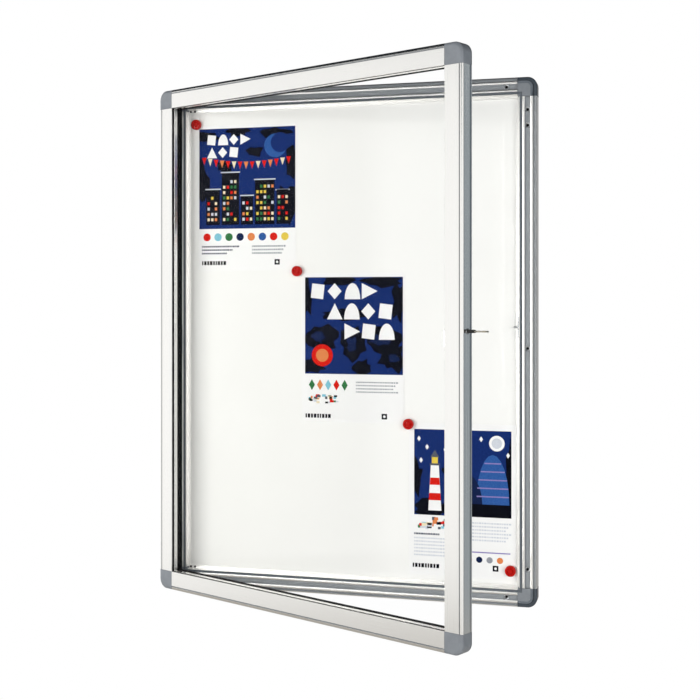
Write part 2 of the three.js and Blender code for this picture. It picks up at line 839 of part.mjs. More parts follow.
// Flat key with its blade in the plug, and the moulded grip round its neck
function key() {
  const half = keyBladeWidth / 2;
  const thin = keyThickness / 2;
  const blade = block(-keyBladeLength, keyBowStart + overrun, -half, half, -thin, thin);
  const bowMiddle = keyBowStart + keyBowLength / 2;
  const bowShape = new THREE.Shape();
  bowShape.absellipse(bowMiddle, 0, keyBowLength / 2, keyBowWidth / 2, 0, 2 * Math.PI, false, 0);
  const bow = moved(extruded(bowShape, keyBowThickness), 0, 0, -keyBowThickness / 2);
  const holeShape = turnedTo(rod(keyBowHole, -overrun, overrun, smallSides), upwards);
  const holeX = keyBowStart + keyBowHoleShare * keyBowLength;
  const flat = blade.add(bow).subtract(moved(holeShape, holeX, 0, 0));
  const gripRound = keyGripThickness / 2;
  const gripEnd = keyGripStart + keyGripLength;
  const gripShape = new THREE.Shape();
  gripShape.absarc(gripEnd - gripRound, 0, gripRound, -Math.PI / 2, Math.PI / 2, false);
  gripShape.absarc(keyGripStart + gripRound, 0, gripRound, Math.PI / 2, 1.5 * Math.PI, false);
  const upright = new THREE.Matrix4().makeRotationX(Math.PI / 2);
  const grip = placed(moved(extruded(gripShape, keyGripWidth), 0, 0, -keyGripWidth / 2), upright);
  const neck = block(-overrun, keyBowStart + overrun, -half - fit, half + fit,
    -keyThickness / 2 - fit, keyThickness / 2 + fit);
  return [mesh("key_blade", flat, nickel), mesh("key_grip", grip.subtract(neck), blackPlastic)];
}

// Middles of the three sheets, each one place right of and one place below the last
function sheetPlaces() {
  const clearX = halfWidth - caseInner - flangeWidth;
  const clearZ = halfHeight - caseInner - flangeWidth;
  const firstX = -clearX + sheetMarginLeft + paperWidth / 2;
  const lastX = clearX - sheetMarginRight - paperWidth / 2;
  const firstZ = clearZ - sheetMarginTop - paperHeight / 2;
  const lastZ = -clearZ + sheetMarginBottom + paperHeight / 2;
  return [
    [firstX, firstZ],
    [(firstX + lastX) / 2 + sheetMiddleShift, (firstZ + lastZ) / 2 - sheetMiddleDrop],
    [lastX, lastZ],
  ];
}

function sheets() {
  const names = ["upper", "middle", "lower"];
  return sheetPlaces().map(([x, z], i) => {
    const half = [paperWidth / 2, paperHeight / 2];
    const part = block(-half[0], half[0], -paperThickness, 0, -half[1], half[1]);
    const piece = mesh(`notice_sheet_${names[i]}`, part, paper);
    piece.position.set(x, panelFront - fit, z);
    return piece;
  });
}

// Magnets: one at the first sheet's outer corner, two where sheets meet and one low on the last sheet
function magnetPlaces() {
  const [first, middle, last] = sheetPlaces();
  const halfPaper = [paperWidth / 2, paperHeight / 2];
  const [outer, upper, lower] = magnetOffsets;
  return [
    [first[0] - halfPaper[0] + outer[0], first[1] + halfPaper[1] + outer[1]],
    [first[0] + halfPaper[0] + upper[0], first[1] - halfPaper[1] + upper[1]],
    [middle[0] + halfPaper[0] + lower[0], middle[1] - halfPaper[1] + lower[1]],
    [last[0] + halfPaper[0] - magnetRadius, last[1] - halfPaper[1] + lastMagnetRise],
  ];
}

// Round magnet: a red cap with a domed edge over a ferrite disc
function magnets() {
  const cavity = magnetRadius - magnetWall;
  const cap = turned([
    [0, ferriteThickness + fit],
    [cavity, ferriteThickness + fit],
    [cavity, 0],
    [magnetRadius, 0],
    [magnetRadius, magnetHeight - magnetWall],
    [magnetRadius - magnetWall, magnetHeight],
    [0, magnetHeight],
  ], smoothSides);
  const disc = rod(cavity - fit, 0, ferriteThickness, smoothSides);
  return magnetPlaces().flatMap(([x, z], i) => {
    const pieces = [
      mesh(`magnet_cap_${i + 1}`, turnedTo(cap, toFront), redPlastic),
      mesh(`magnet_core_${i + 1}`, turnedTo(disc, toFront), ferrite),
    ];
    pieces.forEach((piece) => piece.position.set(x, panelFront - paperThickness - 2 * fit, z));
    return pieces;
  });
}

// The case group has its front plane at local Y zero
function caseAssembly() {
  const group = new THREE.Group();
  group.add(...caseFrame(), mesh("case_seal", caseSeal(), darkRubber), ...panel(), ...keeper());
  const screws = flangeScrewPlaces().map(([x, z], i) =>
    mesh(`flange_screw_${i + 1}`, panHeadScrew(x, z), darkSteel));
  group.add(...screws);
  group.add(...sheets(), ...magnets());
  group.position.y = -caseDepth;
  return group;
}

// The door group turns about the hinge pins; its panel part has its front plane at local Y zero
function doorAssembly() {
  const turning = new THREE.Group();
  turning.position.set(axisX, axisY, 0);
  turning.rotation.z = -doorAjar;
  turning.add(...hingeLeaves(false));
  const front = new THREE.Group();
  front.position.set(-axisX, -doorDepth - doorGap / 2, 0);
  front.add(...doorFrame(), ...glazing());
  const lock = new THREE.Group();
  lock.position.set(halfWidth, lockAxisDepth, lockRise);
  lock.add(...lockBarrel(), ...lockPlug(), ...key());
  front.add(lock);
  turning.add(front);
  return turning;
}

function hingeAssembly() {
  const group = new THREE.Group();
  group.position.set(axisX, axisY, 0);
  const pins = hingeHeights.map((height, i) => mesh(`hinge_${hingeNames[i]}_pin`, hingePin(height), steel));
  group.add(...hingeLeaves(true), ...pins);
  return group;
}

const noticeBoard = new THREE.Group();
noticeBoard.add(caseAssembly(), hingeAssembly(), doorAssembly());

export default noticeBoard;
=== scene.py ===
import math
import random

import bpy
import bmesh
from mathutils import Matrix, Vector

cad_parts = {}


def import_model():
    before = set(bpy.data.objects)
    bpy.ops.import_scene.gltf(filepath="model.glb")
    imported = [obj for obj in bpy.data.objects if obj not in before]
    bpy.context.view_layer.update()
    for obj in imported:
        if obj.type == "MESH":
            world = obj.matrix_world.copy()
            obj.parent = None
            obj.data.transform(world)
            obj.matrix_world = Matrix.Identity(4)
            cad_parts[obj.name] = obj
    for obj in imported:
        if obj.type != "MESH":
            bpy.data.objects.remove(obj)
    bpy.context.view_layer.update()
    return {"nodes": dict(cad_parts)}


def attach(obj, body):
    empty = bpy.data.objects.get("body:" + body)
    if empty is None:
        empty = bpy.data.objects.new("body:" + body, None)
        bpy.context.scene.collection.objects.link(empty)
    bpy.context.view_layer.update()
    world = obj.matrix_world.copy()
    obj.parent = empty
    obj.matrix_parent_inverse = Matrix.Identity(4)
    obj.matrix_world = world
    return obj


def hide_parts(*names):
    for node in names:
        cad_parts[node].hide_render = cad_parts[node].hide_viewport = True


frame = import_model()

# Lengths are written in millimetres, as on the drawing, and scaled once where a mesh is made.
MM = 0.001

# The board as a whole
WIDTH, HEIGHT = 750, 1010
CASE_DEPTH, DOOR_DEPTH, DOOR_GAP = 28, 27, 3
DOOR_AJAR = math.radians(25)
HINGE_X, HINGE_Y = -377.9, -29.5

# Rails, stiles and corner pieces
FACE, CORNER_R = 37, 20
WALL, FIT = 1.8, 0.3
BEAD_W, BEAD_D = 6.1, 4
GROOVE_W, GROOVE_D = 1.8, 1.8

# Door section
DOOR_BACK_R = 1
LIP, REBATE, SLOT_BACK = 1.8, 8, 7.8
DOOR_SEAL_W, DOOR_SEAL_D = 4.3, 11
DOOR_SPIGOT = 40
GRIP_START, GRIP_END, GRIP_D = 20.2, 24.6, 1
DOOR_RIM = 3

# Case section
RIM_DROP, RIM_W, RIM_D, RIM_GROOVE = 1.2, 5.2, 4, 2.2
RIDGE, CHANNEL_W, CHANNEL_D = 5.4, 10.2, 3.4
SLOT_W, SLOT_D, SILL = 4.4, 5, 1.8
FLANGE_W, FLANGE_D, FLANGE_T = 5.3, 10, 1.6
RIDGE_START = RIM_W + RIM_GROOVE
CHANNEL = RIDGE_START + RIDGE
CHANNEL_END = CHANNEL + CHANNEL_W
SLOT = CHANNEL_END + RIDGE
CASE_INNER = SLOT + SLOT_W + SILL
CHANNEL_MID = (CHANNEL + CHANNEL_END) / 2
PANEL_FRONT = FLANGE_D + FLANGE_T + FIT
CASE_SPIGOT = 17
TERRACE = 0.8

# How far a cutter reaches past what it cuts, and a block into the one it stands on
PAST, LAP = 5, 1

# Hinges, lock and key
HINGE_HEIGHTS = (-404, 0, 404)
OUTER_RIDGE, INNER_RIDGE = RIDGE_START + RIDGE / 2, CHANNEL_END + RIDGE / 2
HINGE_SCREWS = ((OUTER_RIDGE, 20), (OUTER_RIDGE, -20), (INNER_RIDGE, 0))
LEAF, SCREW = 1, 6
LOCK_DEPTH, LOCK_RISE, LOCK_R = 14.5, 28.4, 5

# Sheets and magnets: middle of each, from the middle of the board
SHEETS = {"upper": (-213.1, 289.0), "middle": (9.5, -14.1), "lower": (229.1, -307.8)}
SHEET_W, SHEET_H, PAPER_T, INK_T = 210, 297, 0.3, 0.02
MAGNET_R, MAGNET_SEAT = 10.5, 0.9


def metres(matrix):
    """A placing matrix in millimetres, as one in metres."""
    m = matrix.copy()
    m.translation = m.translation * MM
    return m


def at(x, y, z):
    return Matrix.Translation((x, y, z))


CASE = at(0, -CASE_DEPTH, 0)
DOOR = (at(HINGE_X, HINGE_Y, 0) @ Matrix.Rotation(-DOOR_AJAR, 4, "Z")
        @ at(-HINGE_X, -DOOR_DEPTH - DOOR_GAP / 2, 0))
HINGE_CASE = at(HINGE_X, HINGE_Y, 0)
HINGE_DOOR = HINGE_CASE @ Matrix.Rotation(-DOOR_AJAR, 4, "Z")
LOCK = DOOR @ at(WIDTH / 2, LOCK_DEPTH, LOCK_RISE)


# Materials

def linear(code):
    """An sRGB hex colour as linear RGBA."""
    parts = [int(code[i:i + 2], 16) / 255 for i in (1, 3, 5)]
    return tuple(c / 12.92 if c <= 0.04045 else ((c + 0.055) / 1.055) ** 2.4 for c in parts) + (1,)


def add(tree, kind, settings=(), values=(), links=()):
    """Adds one node: its own settings, the values of its sockets and the links into them."""
    n = tree.nodes.new(kind)
    for key, value in dict(settings).items():
        setattr(n, key, value)
    for key, value in dict(values).items():
        n.inputs[key].default_value = value
    for key, (source, socket) in dict(links).items():
        tree.links.new(source.outputs[socket], n.inputs[key])
    return n


def surface(name, colour, roughness, metallic=0.0, **sockets):
    """A material with one principled shader, and the shader itself."""
    material = bpy.data.materials.new(name)
    material.use_nodes = True
    tree = material.node_tree
    shader = tree.nodes["Principled BSDF"]
    shader.inputs["Base Color"].default_value = linear(colour)
    shader.inputs["Roughness"].default_value = roughness
    shader.inputs["Metallic"].default_value = metallic
    for key, value in sockets.items():
        shader.inputs[key.replace("_", " ")].default_value = value
    material.diffuse_color = linear(colour)
    return material, tree, shader


# Noise keeps close to 0.5, and this part of it is spread over a pattern's whole range
NOISE_RANGE = {"From Min": 0.3, "From Max": 0.7}


def object_noise(tree, size, stretch=(1, 1, 1), detail=3.0, rough=0.55):
    """Noise with grains of a size in millimetres, stretched along the piece's own axes."""
    place = add(tree, "ShaderNodeTexCoord")
    mapped = add(tree, "ShaderNodeMapping", values={"Scale": tuple(1 / s for s in stretch)},
                 links={"Vector": (place, "Object")})
    return add(tree, "ShaderNodeTexNoise",
               values={"Scale": 1 / (size * MM), "Detail": detail, "Roughness": rough},
               links={"Vector": (mapped, "Vector")})


def tinted(tree, shader, source, dark, light):
    """Base colour that wanders between two close tones."""
    part = add(tree, "ShaderNodeMapRange", values=NOISE_RANGE, links={"Value": (source, "Fac")})
    mix = add(tree, "ShaderNodeMix", {"data_type": "RGBA"},
              {"A": linear(dark), "B": linear(light)}, {"Factor": (part, "Result")})
    tree.links.new(mix.outputs["Result"], shader.inputs["Base Color"])


def roughened(tree, shader, source, low, high):
    """Roughness that wanders between two values."""
    rough = add(tree, "ShaderNodeMapRange", values={**NOISE_RANGE, "To Min": low, "To Max": high},
                links={"Value": (source, "Fac")})
    tree.links.new(rough.outputs["Result"], shader.inputs["Roughness"])


def dented(tree, shader, source, depth, strength):
    """Bump with a depth in millimetres."""
    bump = add(tree, "ShaderNodeBump", values={"Distance": depth * MM, "Strength": strength},
               links={"Height": (source, "Fac")})
    tree.links.new(bump.outputs["Normal"], shader.inputs["Normal"])


def anodised_aluminium(name, rough):
    """Extruded aluminium, etched and anodised natural: a satin sheen with faint lines along
    the bar from the die, and a slightly warm white tone. A longer etch leaves it rougher."""
    material, tree, shader = surface(name, "#FAF9F5", rough, 1.0)
    lines = object_noise(tree, 0.9, (1, 1, 400), 4.0)
    tinted(tree, shader, lines, "#F8F7F3", "#FCFBF8")
    roughened(tree, shader, lines, rough - 0.04, rough + 0.04)
    dented(tree, shader, lines, 0.02, 0.3)
    return material


def groove_shade_aluminium():
    """The same metal down in the narrow grooves and the channel: rougher, and darker with a cool tone,
    a tone painted in as shade for the depth of the grooves and the channel."""
    material, tree, shader = surface("groove_shade_aluminium", "#969B9F", 0.5, 0.3)
    lines = object_noise(tree, 0.9, (1, 1, 400), 4.0)
    tinted(tree, shader, lines, "#8F9498", "#9DA1A5")
    roughened(tree, shader, lines, 0.42, 0.56)
    dented(tree, shader, lines, 0.03, 0.4)
    return material


def moulded_nylon(name, dark, light, gloss):
    """Glass-filled nylon from a spark-eroded mould: blue grey, with a fine matt grain."""
    material, tree, shader = surface(name, dark, 0.34, Specular_IOR_Level=gloss)
    cloud = object_noise(tree, 14, detail=2.0)
    tinted(tree, shader, cloud, dark, light)
    grain = object_noise(tree, 0.8, detail=2.0)
    roughened(tree, shader, grain, 0.3, 0.4)
    dented(tree, shader, grain, 0.03, 0.5)
    return material


def vitreous_enamel():
    """White enamel fired on sheet steel: a clear gloss over a very slight orange peel."""
    material, tree, shader = surface("vitreous_enamel", "#FAFAF8", 0.14, Coat_Weight=0.4,
                                     Coat_Roughness=0.05)
    peel = object_noise(tree, 6, detail=1.0)
    roughened(tree, shader, peel, 0.11, 0.18)
    tinted(tree, shader, object_noise(tree, 120), "#F9F9F7", "#FBFBF9")
    dented(tree, shader, peel, 0.02, 0.12)
    return material


def float_glass():
    """Toughened low-iron float glass: clear and colourless, with very faint smears. Lamps and the
    light off the panel pass through it, as they do through a thin pane."""
    material, tree, shader = surface("float_glass", "#FEFEFE", 0.0, Transmission_Weight=1.0,
                                     IOR=1.06)
    smear = object_noise(tree, 90, (1, 1, 2), 2.0)
    roughened(tree, shader, smear, 0.0, 0.012)
    rays = add(tree, "ShaderNodeLightPath")
    lit = add(tree, "ShaderNodeMath", {"operation": "MAXIMUM"}, links={
        0: (rays, "Is Shadow Ray"), 1: (rays, "Is Diffuse Ray")})
    clear = add(tree, "ShaderNodeBsdfTransparent", values={"Color": linear("#FEFEFC")})
    either = add(tree, "ShaderNodeMixShader", links={
        0: (lit, "Value"), 1: (shader, "BSDF"), 2: (clear, "BSDF")})
    tree.links.new(either.outputs["Shader"], tree.nodes["Material Output"].inputs["Surface"])
    return material


def extruded_rubber(name, colour):
    """EPDM from an extruder: matt, with a slight bloom and a fine grain."""
    material, tree, shader = surface(name, colour, 0.8, Specular_IOR_Level=0.2)
    bloom = object_noise(tree, 5)
    roughened(tree, shader, bloom, 0.72, 0.88)
    dented(tree, shader, object_noise(tree, 0.7), 0.04, 0.5)
    return material


def zinc_plated_steel(name, dark, light):
    """Pressed steel with a zinc coat, bright or black: a sheen with the plating's spangle in it."""
    material, tree, shader = surface(name, dark, 0.3, 1.0)
    plating = object_noise(tree, 4)
    tinted(tree, shader, plating, dark, light)
    roughened(tree, shader, plating, 0.24, 0.4)
    dented(tree, shader, object_noise(tree, 0.5), 0.02, 0.3)
    return material


def nickel_plated_brass():
    """Brass blank with nickel on it: warm grey shine, rubbed yellow in places by use."""
    material, tree, shader = surface("nickel_plated_brass", "#B5B1A8", 0.28, 1.0)
    wear = object_noise(tree, 7)
    tinted(tree, shader, wear, "#B8B5AE", "#B3AB98")
    roughened(tree, shader, wear, 0.22, 0.4)
    dented(tree, shader, object_noise(tree, 0.6, (6, 1, 1)), 0.02, 0.4)
    return material


def glossy_polystyrene():
    """Injection moulded polystyrene: an even strong red with a soft gloss."""
    material, tree, shader = surface("glossy_polystyrene", "#B80C06", 0.22,
                                     Specular_IOR_Level=0.18)
    flow = object_noise(tree, 9)
    tinted(tree, shader, flow, "#B40A03", "#C00E06")
    roughened(tree, shader, flow, 0.17, 0.28)
    return material


def satin_acetal():
    """Black acetal: a deep black with a soft waxy sheen."""
    material, tree, shader = surface("satin_acetal", "#0C0C0D", 0.42)
    grain = object_noise(tree, 0.8)
    roughened(tree, shader, grain, 0.36, 0.5)
    dented(tree, shader, grain, 0.03, 0.4)
    return material


def sintered_ferrite():
    """Pressed and fired ferrite: charcoal, dull and slightly porous."""
    material, tree, shader = surface("sintered_ferrite", "#2A2B2E", 0.7)
    pores = object_noise(tree, 0.7)
    tinted(tree, shader, pores, "#232427", "#323337")
    dented(tree, shader, pores, 0.06, 0.6)
    return material


def wood_fibre_board():
    """Soft fibre board: brown felted fibres, raw and fully matt."""
    material, tree, shader = surface("wood_fibre_board", "#A98F68", 0.9)
    fibres = object_noise(tree, 1.6, (4, 4, 1))
    tinted(tree, shader, fibres, "#9A815B", "#B79C75")
    dented(tree, shader, fibres, 0.2, 0.6)
    return material


def coated_paper():
    """Coated printing paper: a bright smooth white with a silky surface."""
    material, tree, shader = surface("coated_paper", "#F6F6F6", 0.45)
    felt = object_noise(tree, 1.2)
    roughened(tree, shader, felt, 0.38, 0.5)
    dented(tree, shader, felt, 0.02, 0.2)
    return material


def printing_ink(name, dark, light):
    """Offset ink on coated paper: even, with a very slight mottle from the paper under it."""
    material, tree, shader = surface("ink_" + name, dark, 0.45, Specular_IOR_Level=0.06)
    mottle = object_noise(tree, 2.5)
    tinted(tree, shader, mottle, dark, light)
    return material


ALUMINIUM = anodised_aluminium("anodised_aluminium", 0.24)
CASE_ALUMINIUM = anodised_aluminium("etched_aluminium", 0.44)
# Darker aluminium for the grooves and the channel: painted shade.
GROOVE_SHADE_ALUMINIUM = groove_shade_aluminium()
NYLON = moulded_nylon("moulded_nylon", "#797E84", "#83888E", 1.0)
# Darker copies of the nylon for the rims and the terrace of the corner pieces: painted shade.
SHADED_NYLON_RIM = moulded_nylon("moulded_nylon_rim_painted_shade", "#414951", "#4B525A", 0.4)
SHADED_NYLON_STEP = moulded_nylon("moulded_nylon_step_painted_shade", "#5E666E", "#686F77", 0.7)
ENAMEL = vitreous_enamel()
GLASS = float_glass()
BLACK_RUBBER = extruded_rubber("black_rubber", "#060607")
GREY_RUBBER = extruded_rubber("grey_rubber", "#666C72")
ZINC = zinc_plated_steel("zinc_plated_steel", "#C4C8CB", "#DADCDE")
BLACK_ZINC = zinc_plated_steel("black_zinc_steel", "#242628", "#303336")
NICKEL = nickel_plated_brass()
RED_POLYSTYRENE = glossy_polystyrene()
ACETAL = satin_acetal()
FERRITE = sintered_ferrite()
FIBRE = wood_fibre_board()
PAPER = coated_paper()
INKS = {name: printing_ink(name, dark, light) for name, dark, light in (
    ("blue", "#10275F", "#172F70"), ("navy", "#020309", "#050714"), ("dusk", "#0E1B40", "#142349"),
    ("sky", "#2A5296", "#3560A4"), ("red", "#D21A12", "#DA2419"), ("orange", "#DE8048", "#E48C56"),
    ("cream", "#EBDCB8", "#F1E5C6"), ("yellow", "#E3C648", "#EACF58"), ("green", "#2F6E3E", "#3A7A49"),
    ("teal", "#79BFD4", "#8ACADC"), ("grey", "#8E929B", "#9BA0A8"), ("pale", "#CBD0DA", "#D6DAE2"),
    ("lilac", "#8478B4", "#9084BD"), ("ash", "#50545E", "#5C606A"), ("white", "#F6F6F6", "#FAFAFA"))}


# Mesh making

def fillet(points, steps=5):
    """A closed outline from corners (x, y, radius), each rounded to its radius."""
    out = []
    count = len(points)
    for i in range(count):
        x, y, r = points[i]
        here = Vector((x, y))
        before = Vector(points[i - 1][:2]) - here
        after = Vector(points[(i + 1) % count][:2]) - here
        if r <= 0:
            out.append(here)
            continue
        half = before.angle(after) / 2
        reach = min(r / math.tan(half), before.length * 0.5, after.length * 0.5)
        r = reach * math.tan(half)
        middle = here + (before.normalized() + after.normalized()).normalized() * (r / math.sin(half))
        start = here + before.normalized() * reach - middle
        turn = math.pi - 2 * half
        sign = 1 if before.x * after.y - before.y * after.x < 0 else -1
        count_steps = steps if r > 1 else 3
        for k in range(count_steps + 1):
            a = sign * turn * k / count_steps
            out.append(middle + Vector((start.x * math.cos(a) - start.y * math.sin(a),
                                        start.x * math.sin(a) + start.y * math.cos(a))))
    return out


def piece(name, bm, material, body, place, replaced=(), *, smooth=35, own_axes=False):
    """Turns a bmesh in millimetres into a named piece that rides on a body. With own_axes, the
    object keeps the bar's axes, which the pattern along the bar follows."""
    bmesh.ops.recalc_face_normals(bm, faces=bm.faces)
    if not own_axes:
        bm.transform(place)
    bmesh.ops.scale(bm, vec=(MM, MM, MM), verts=bm.verts)
    mesh = bpy.data.meshes.new(name)
    bm.to_mesh(mesh)
    bm.free()
    for face in mesh.polygons:
        face.use_smooth = True
    mesh.set_sharp_from_angle(angle=math.radians(smooth))
    for one in material if isinstance(material, list) else [material]:
        mesh.materials.append(one)
    obj = bpy.data.objects.new(name, mesh)
    bpy.context.scene.collection.objects.link(obj)
    if own_axes:
        obj.matrix_world = metres(place)
    normals = obj.modifiers.new("level_faces", "WEIGHTED_NORMAL")
    normals.keep_sharp = True
    normals.weight = 100
    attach(obj, body)
    if replaced:
        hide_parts(*replaced)
    return obj


def loop(bm, points):
    """A closed ring of vertices and its edges."""
    verts = [bm.verts.new(p) for p in points]
    return verts, [bm.edges.new((verts[i - 1], verts[i])) for i in range(len(verts))]


def skin(bm, a, b):
    """Faces between two rings with as many vertices."""
    for i in range(len(a)):
        bm.faces.new((a[i - 1], a[i], b[i], b[i - 1]))


def extrusion(bm, outer, hollow, low, high):
    """A profile in X and Y, with a hollow, drawn out along Z."""
    ends = []
    for z in (low, high):
        outer_verts, edges = loop(bm, [(p.x, p.y, z) for p in outer])
        inner_verts, more = loop(bm, [(p.x, p.y, z) for p in hollow])
        ends.append((outer_verts, inner_verts, edges + more))
    skin(bm, ends[0][0], ends[1][0])
    skin(bm, ends[0][1], ends[1][1])
    for _, _, edges in ends:
        bmesh.ops.triangle_fill(bm, use_beauty=True, use_dissolve=False, edges=edges)


def prism(bm, plan, front, back):
    """A plan in X and Z, with its depth along Y."""
    a = [bm.verts.new((p.x, front, p.y)) for p in plan]
    b = [bm.verts.new((p.x, back, p.y)) for p in plan]
    skin(bm, a, b)
    bm.faces.new(a)
    bm.faces.new(b)


def box(bm, x0, x1, y0, y1, z0, z1):
    plan = [Vector((x0, z0)), Vector((x1, z0)), Vector((x1, z1)), Vector((x0, z1))]
    prism(bm, plan, y0, y1)


def oval(x, z, across, up, sides):
    """An ellipse from its middle and its two half widths."""
    turns = [2 * math.pi * k / sides for k in range(sides)]
    return [Vector((x + across * math.cos(a), z + up * math.sin(a))) for a in turns]


def turned(bm, profile, place, sides):
    """A body turned about Y from closed corners (radius, height, fillet)."""
    outline = fillet(profile, 4)
    rings = []
    for k in range(sides):
        a = 2 * math.pi * k / sides
        rings.append([bm.verts.new(place @ Vector((p.x * math.cos(a), p.y, p.x * math.sin(a))))
                      for p in outline])
    for k in range(sides):
        skin(bm, rings[k - 1], rings[k])
    bmesh.ops.remove_doubles(bm, verts=bm.verts, dist=1e-4)


def bore(bm, radius, depth, place, sides):
    """A round cutter, from in front of a face down to a depth."""
    turned(bm, [(0, -PAST, 0), (radius, -PAST, 0), (radius, depth, 0), (0, depth, 0)], place, sides)


def cut(bm, cutter):
    """Cuts one bmesh with another and gives the result back."""
    made = []
    for source in (bm, cutter):
        bmesh.ops.recalc_face_normals(source, faces=source.faces)
        mesh = bpy.data.meshes.new("cut")
        source.to_mesh(mesh)
        source.free()
        made.append(bpy.data.objects.new("cut", mesh))
        bpy.context.scene.collection.objects.link(made[-1])
    boolean = made[0].modifiers.new("cut", "BOOLEAN")
    boolean.operation = "DIFFERENCE"
    boolean.solver = "EXACT"
    boolean.object = made[1]
    bpy.context.view_layer.update()
    shape = made[0].evaluated_get(bpy.context.evaluated_depsgraph_get()).to_mesh()
    result = bmesh.new()
    result.from_mesh(shape)
    for obj in made:
        mesh = obj.data
        bpy.data.objects.remove(obj)
        bpy.data.meshes.remove(mesh)
    return result


# Rails and stiles

SIDES = {"left": (0, WIDTH / 2, HEIGHT), "top": (1, HEIGHT / 2, WIDTH),
         "right": (2, WIDTH / 2, HEIGHT), "bottom": (3, HEIGHT / 2, WIDTH)}
BAR_NODES = {"left": "left_stile", "top": "top_rail", "right": "right_stile", "bottom": "bottom_rail"}


def side_place(side):
    """From a bar's own axes, X inward from the edge and Z along it, to the middle of the board."""
    quarter, half, _ = SIDES[side]
    return Matrix.Rotation(quarter * math.pi / 2, 4, "Y") @ at(-half, 0, 0)


def bar_half(side):
    return SIDES[side][2] / 2 - FACE - FIT


def bead(width, deep, drop, steps=9):
    """The rounded outer edge, from the side to the front, as (inset, depth)."""
    turns = [math.pi / 2 * k / steps for k in range(steps + 1)]
    return [(width - width * math.cos(a), drop + deep - deep * math.sin(a)) for a in turns]


def crown(start, end, sag=0.9, steps=8):
    """The crowned top of a ridge, as (inset, depth, radius)."""
    half = (end - start) / 2
    across = [2 * k / steps - 1 for k in range(steps + 1)]
    return [(start + half + half * u, sag * u * u, 0) for u in across]


def door_section():
    """The door's profile and its hollow: bead, groove, face, glass slot and seal step."""
    seal_front, seal_side = DOOR_DEPTH - DOOR_SEAL_D, FACE - DOOR_SEAL_W
    groove_end = BEAD_W + GROOVE_W
    outer = [(x, y, 0) for x, y in bead(BEAD_W - 0.3, BEAD_D, 0)]
    outer += [(BEAD_W, 0, 0.25), (BEAD_W, GROOVE_D, 0.2), (groove_end, GROOVE_D, 0.2),
              (groove_end, 0, 0.4), (FACE, 0, 0.7), (FACE, LIP, 0.4), (FACE - REBATE, LIP, 0.3),
              (FACE - REBATE, SLOT_BACK, 0.3), (FACE, SLOT_BACK, 0.6),
              (FACE, seal_front, 0.4), (seal_side, seal_front, 0.3),
              (seal_side, DOOR_DEPTH, 0.6), (0, DOOR_DEPTH, DOOR_BACK_R), (0, GRIP_END, 0.4),
              (GRIP_D, GRIP_START + 0.4, 0.2), (0, GRIP_START, 0.3)]
    front, back = GROOVE_D + WALL, DOOR_DEPTH - WALL
    hollow = [(WALL, BEAD_D + WALL, 0), (BEAD_W, front, 0), (FACE - REBATE - WALL, front, 0.5),
              (FACE - REBATE - WALL, SLOT_BACK + WALL, 0.5), (FACE - WALL, SLOT_BACK + WALL, 0.5),
              (FACE - WALL, seal_front - WALL, 0.5), (seal_side - WALL, seal_front - WALL, 0.5),
              (seal_side - WALL, back, 0.5), (WALL, back, 0.5)]
    return fillet(outer), fillet(hollow)


def case_section():
    """The case's profile and its hollow: rim, groove, two ridges, seal slot, sill and flange."""
    slot_end = SLOT + SLOT_W
    outer = [(x, y, 0) for x, y in bead(RIM_W - 0.3, RIM_D, RIM_DROP)]
    outer += [(RIM_W, RIM_DROP, 0.25), (RIM_W, RIM_DROP + GROOVE_D, 0.3),
              (RIDGE_START, RIM_DROP + GROOVE_D, 0.3)]
    outer += crown(RIDGE_START, CHANNEL) + [(CHANNEL, CHANNEL_D, 0.4), (CHANNEL_END, CHANNEL_D, 0.4)]
    outer += crown(CHANNEL_END, SLOT)
    outer += [(SLOT, SLOT_D, 0.3), (slot_end, SLOT_D, 0.3), (slot_end, RIM_DROP / 2, 0.3),
              (CASE_INNER, RIM_DROP / 2, 0.5), (CASE_INNER, FLANGE_D, 0.5),
              (CASE_INNER + FLANGE_W, FLANGE_D, 0.5), (CASE_INNER + FLANGE_W, FLANGE_D + FLANGE_T, 0.3),
              (CASE_INNER, FLANGE_D + FLANGE_T, 0.2), (CASE_INNER, CASE_DEPTH, 0.3),
              (0, CASE_DEPTH, 0.6)]
    front, back = CHANNEL_D + WALL, CASE_DEPTH - WALL
    hollow = [(WALL, RIM_DROP + RIM_D + WALL, 0), (RIM_W, front, 0), (SLOT - WALL, front, 0.4),
              (SLOT - WALL, SLOT_D + WALL, 0.4), (CASE_INNER - WALL, SLOT_D + WALL, 0.4),
              (CASE_INNER - WALL, back, 0.4), (WALL, back, 0.4)]
    return fillet(outer), fillet(hollow)


# Wall fixing holes: their radius, and their distances along a side from its lower or left end
FIXING_R = 2.75
FIXINGS = {"left": (73, 493, 948), "right": (73, 493, 918, 948), "top": (58, 692), "bottom": (58, 692)}


def fixing_places(side):
    """Fixing holes in the bar's own X and Z."""
    sign = {"left": 1, "top": 1, "right": -1, "bottom": -1}[side]
    return [(CHANNEL_MID, sign * (inset - SIDES[side][2] / 2)) for inset in FIXINGS[side]]


def paint_groove_shade(bm, zones):
    """Gives the faces in the narrow grooves, each zone (from, to, deepest), the darker aluminium:
    painted shade for their depth.
    """
    for face in bm.faces:
        c = face.calc_center_median()
        if any(a - 0.05 < c.x < b + 0.05 and 0.3 < c.y < deep + 0.1 for a, b, deep in zones):
            face.material_index = 1


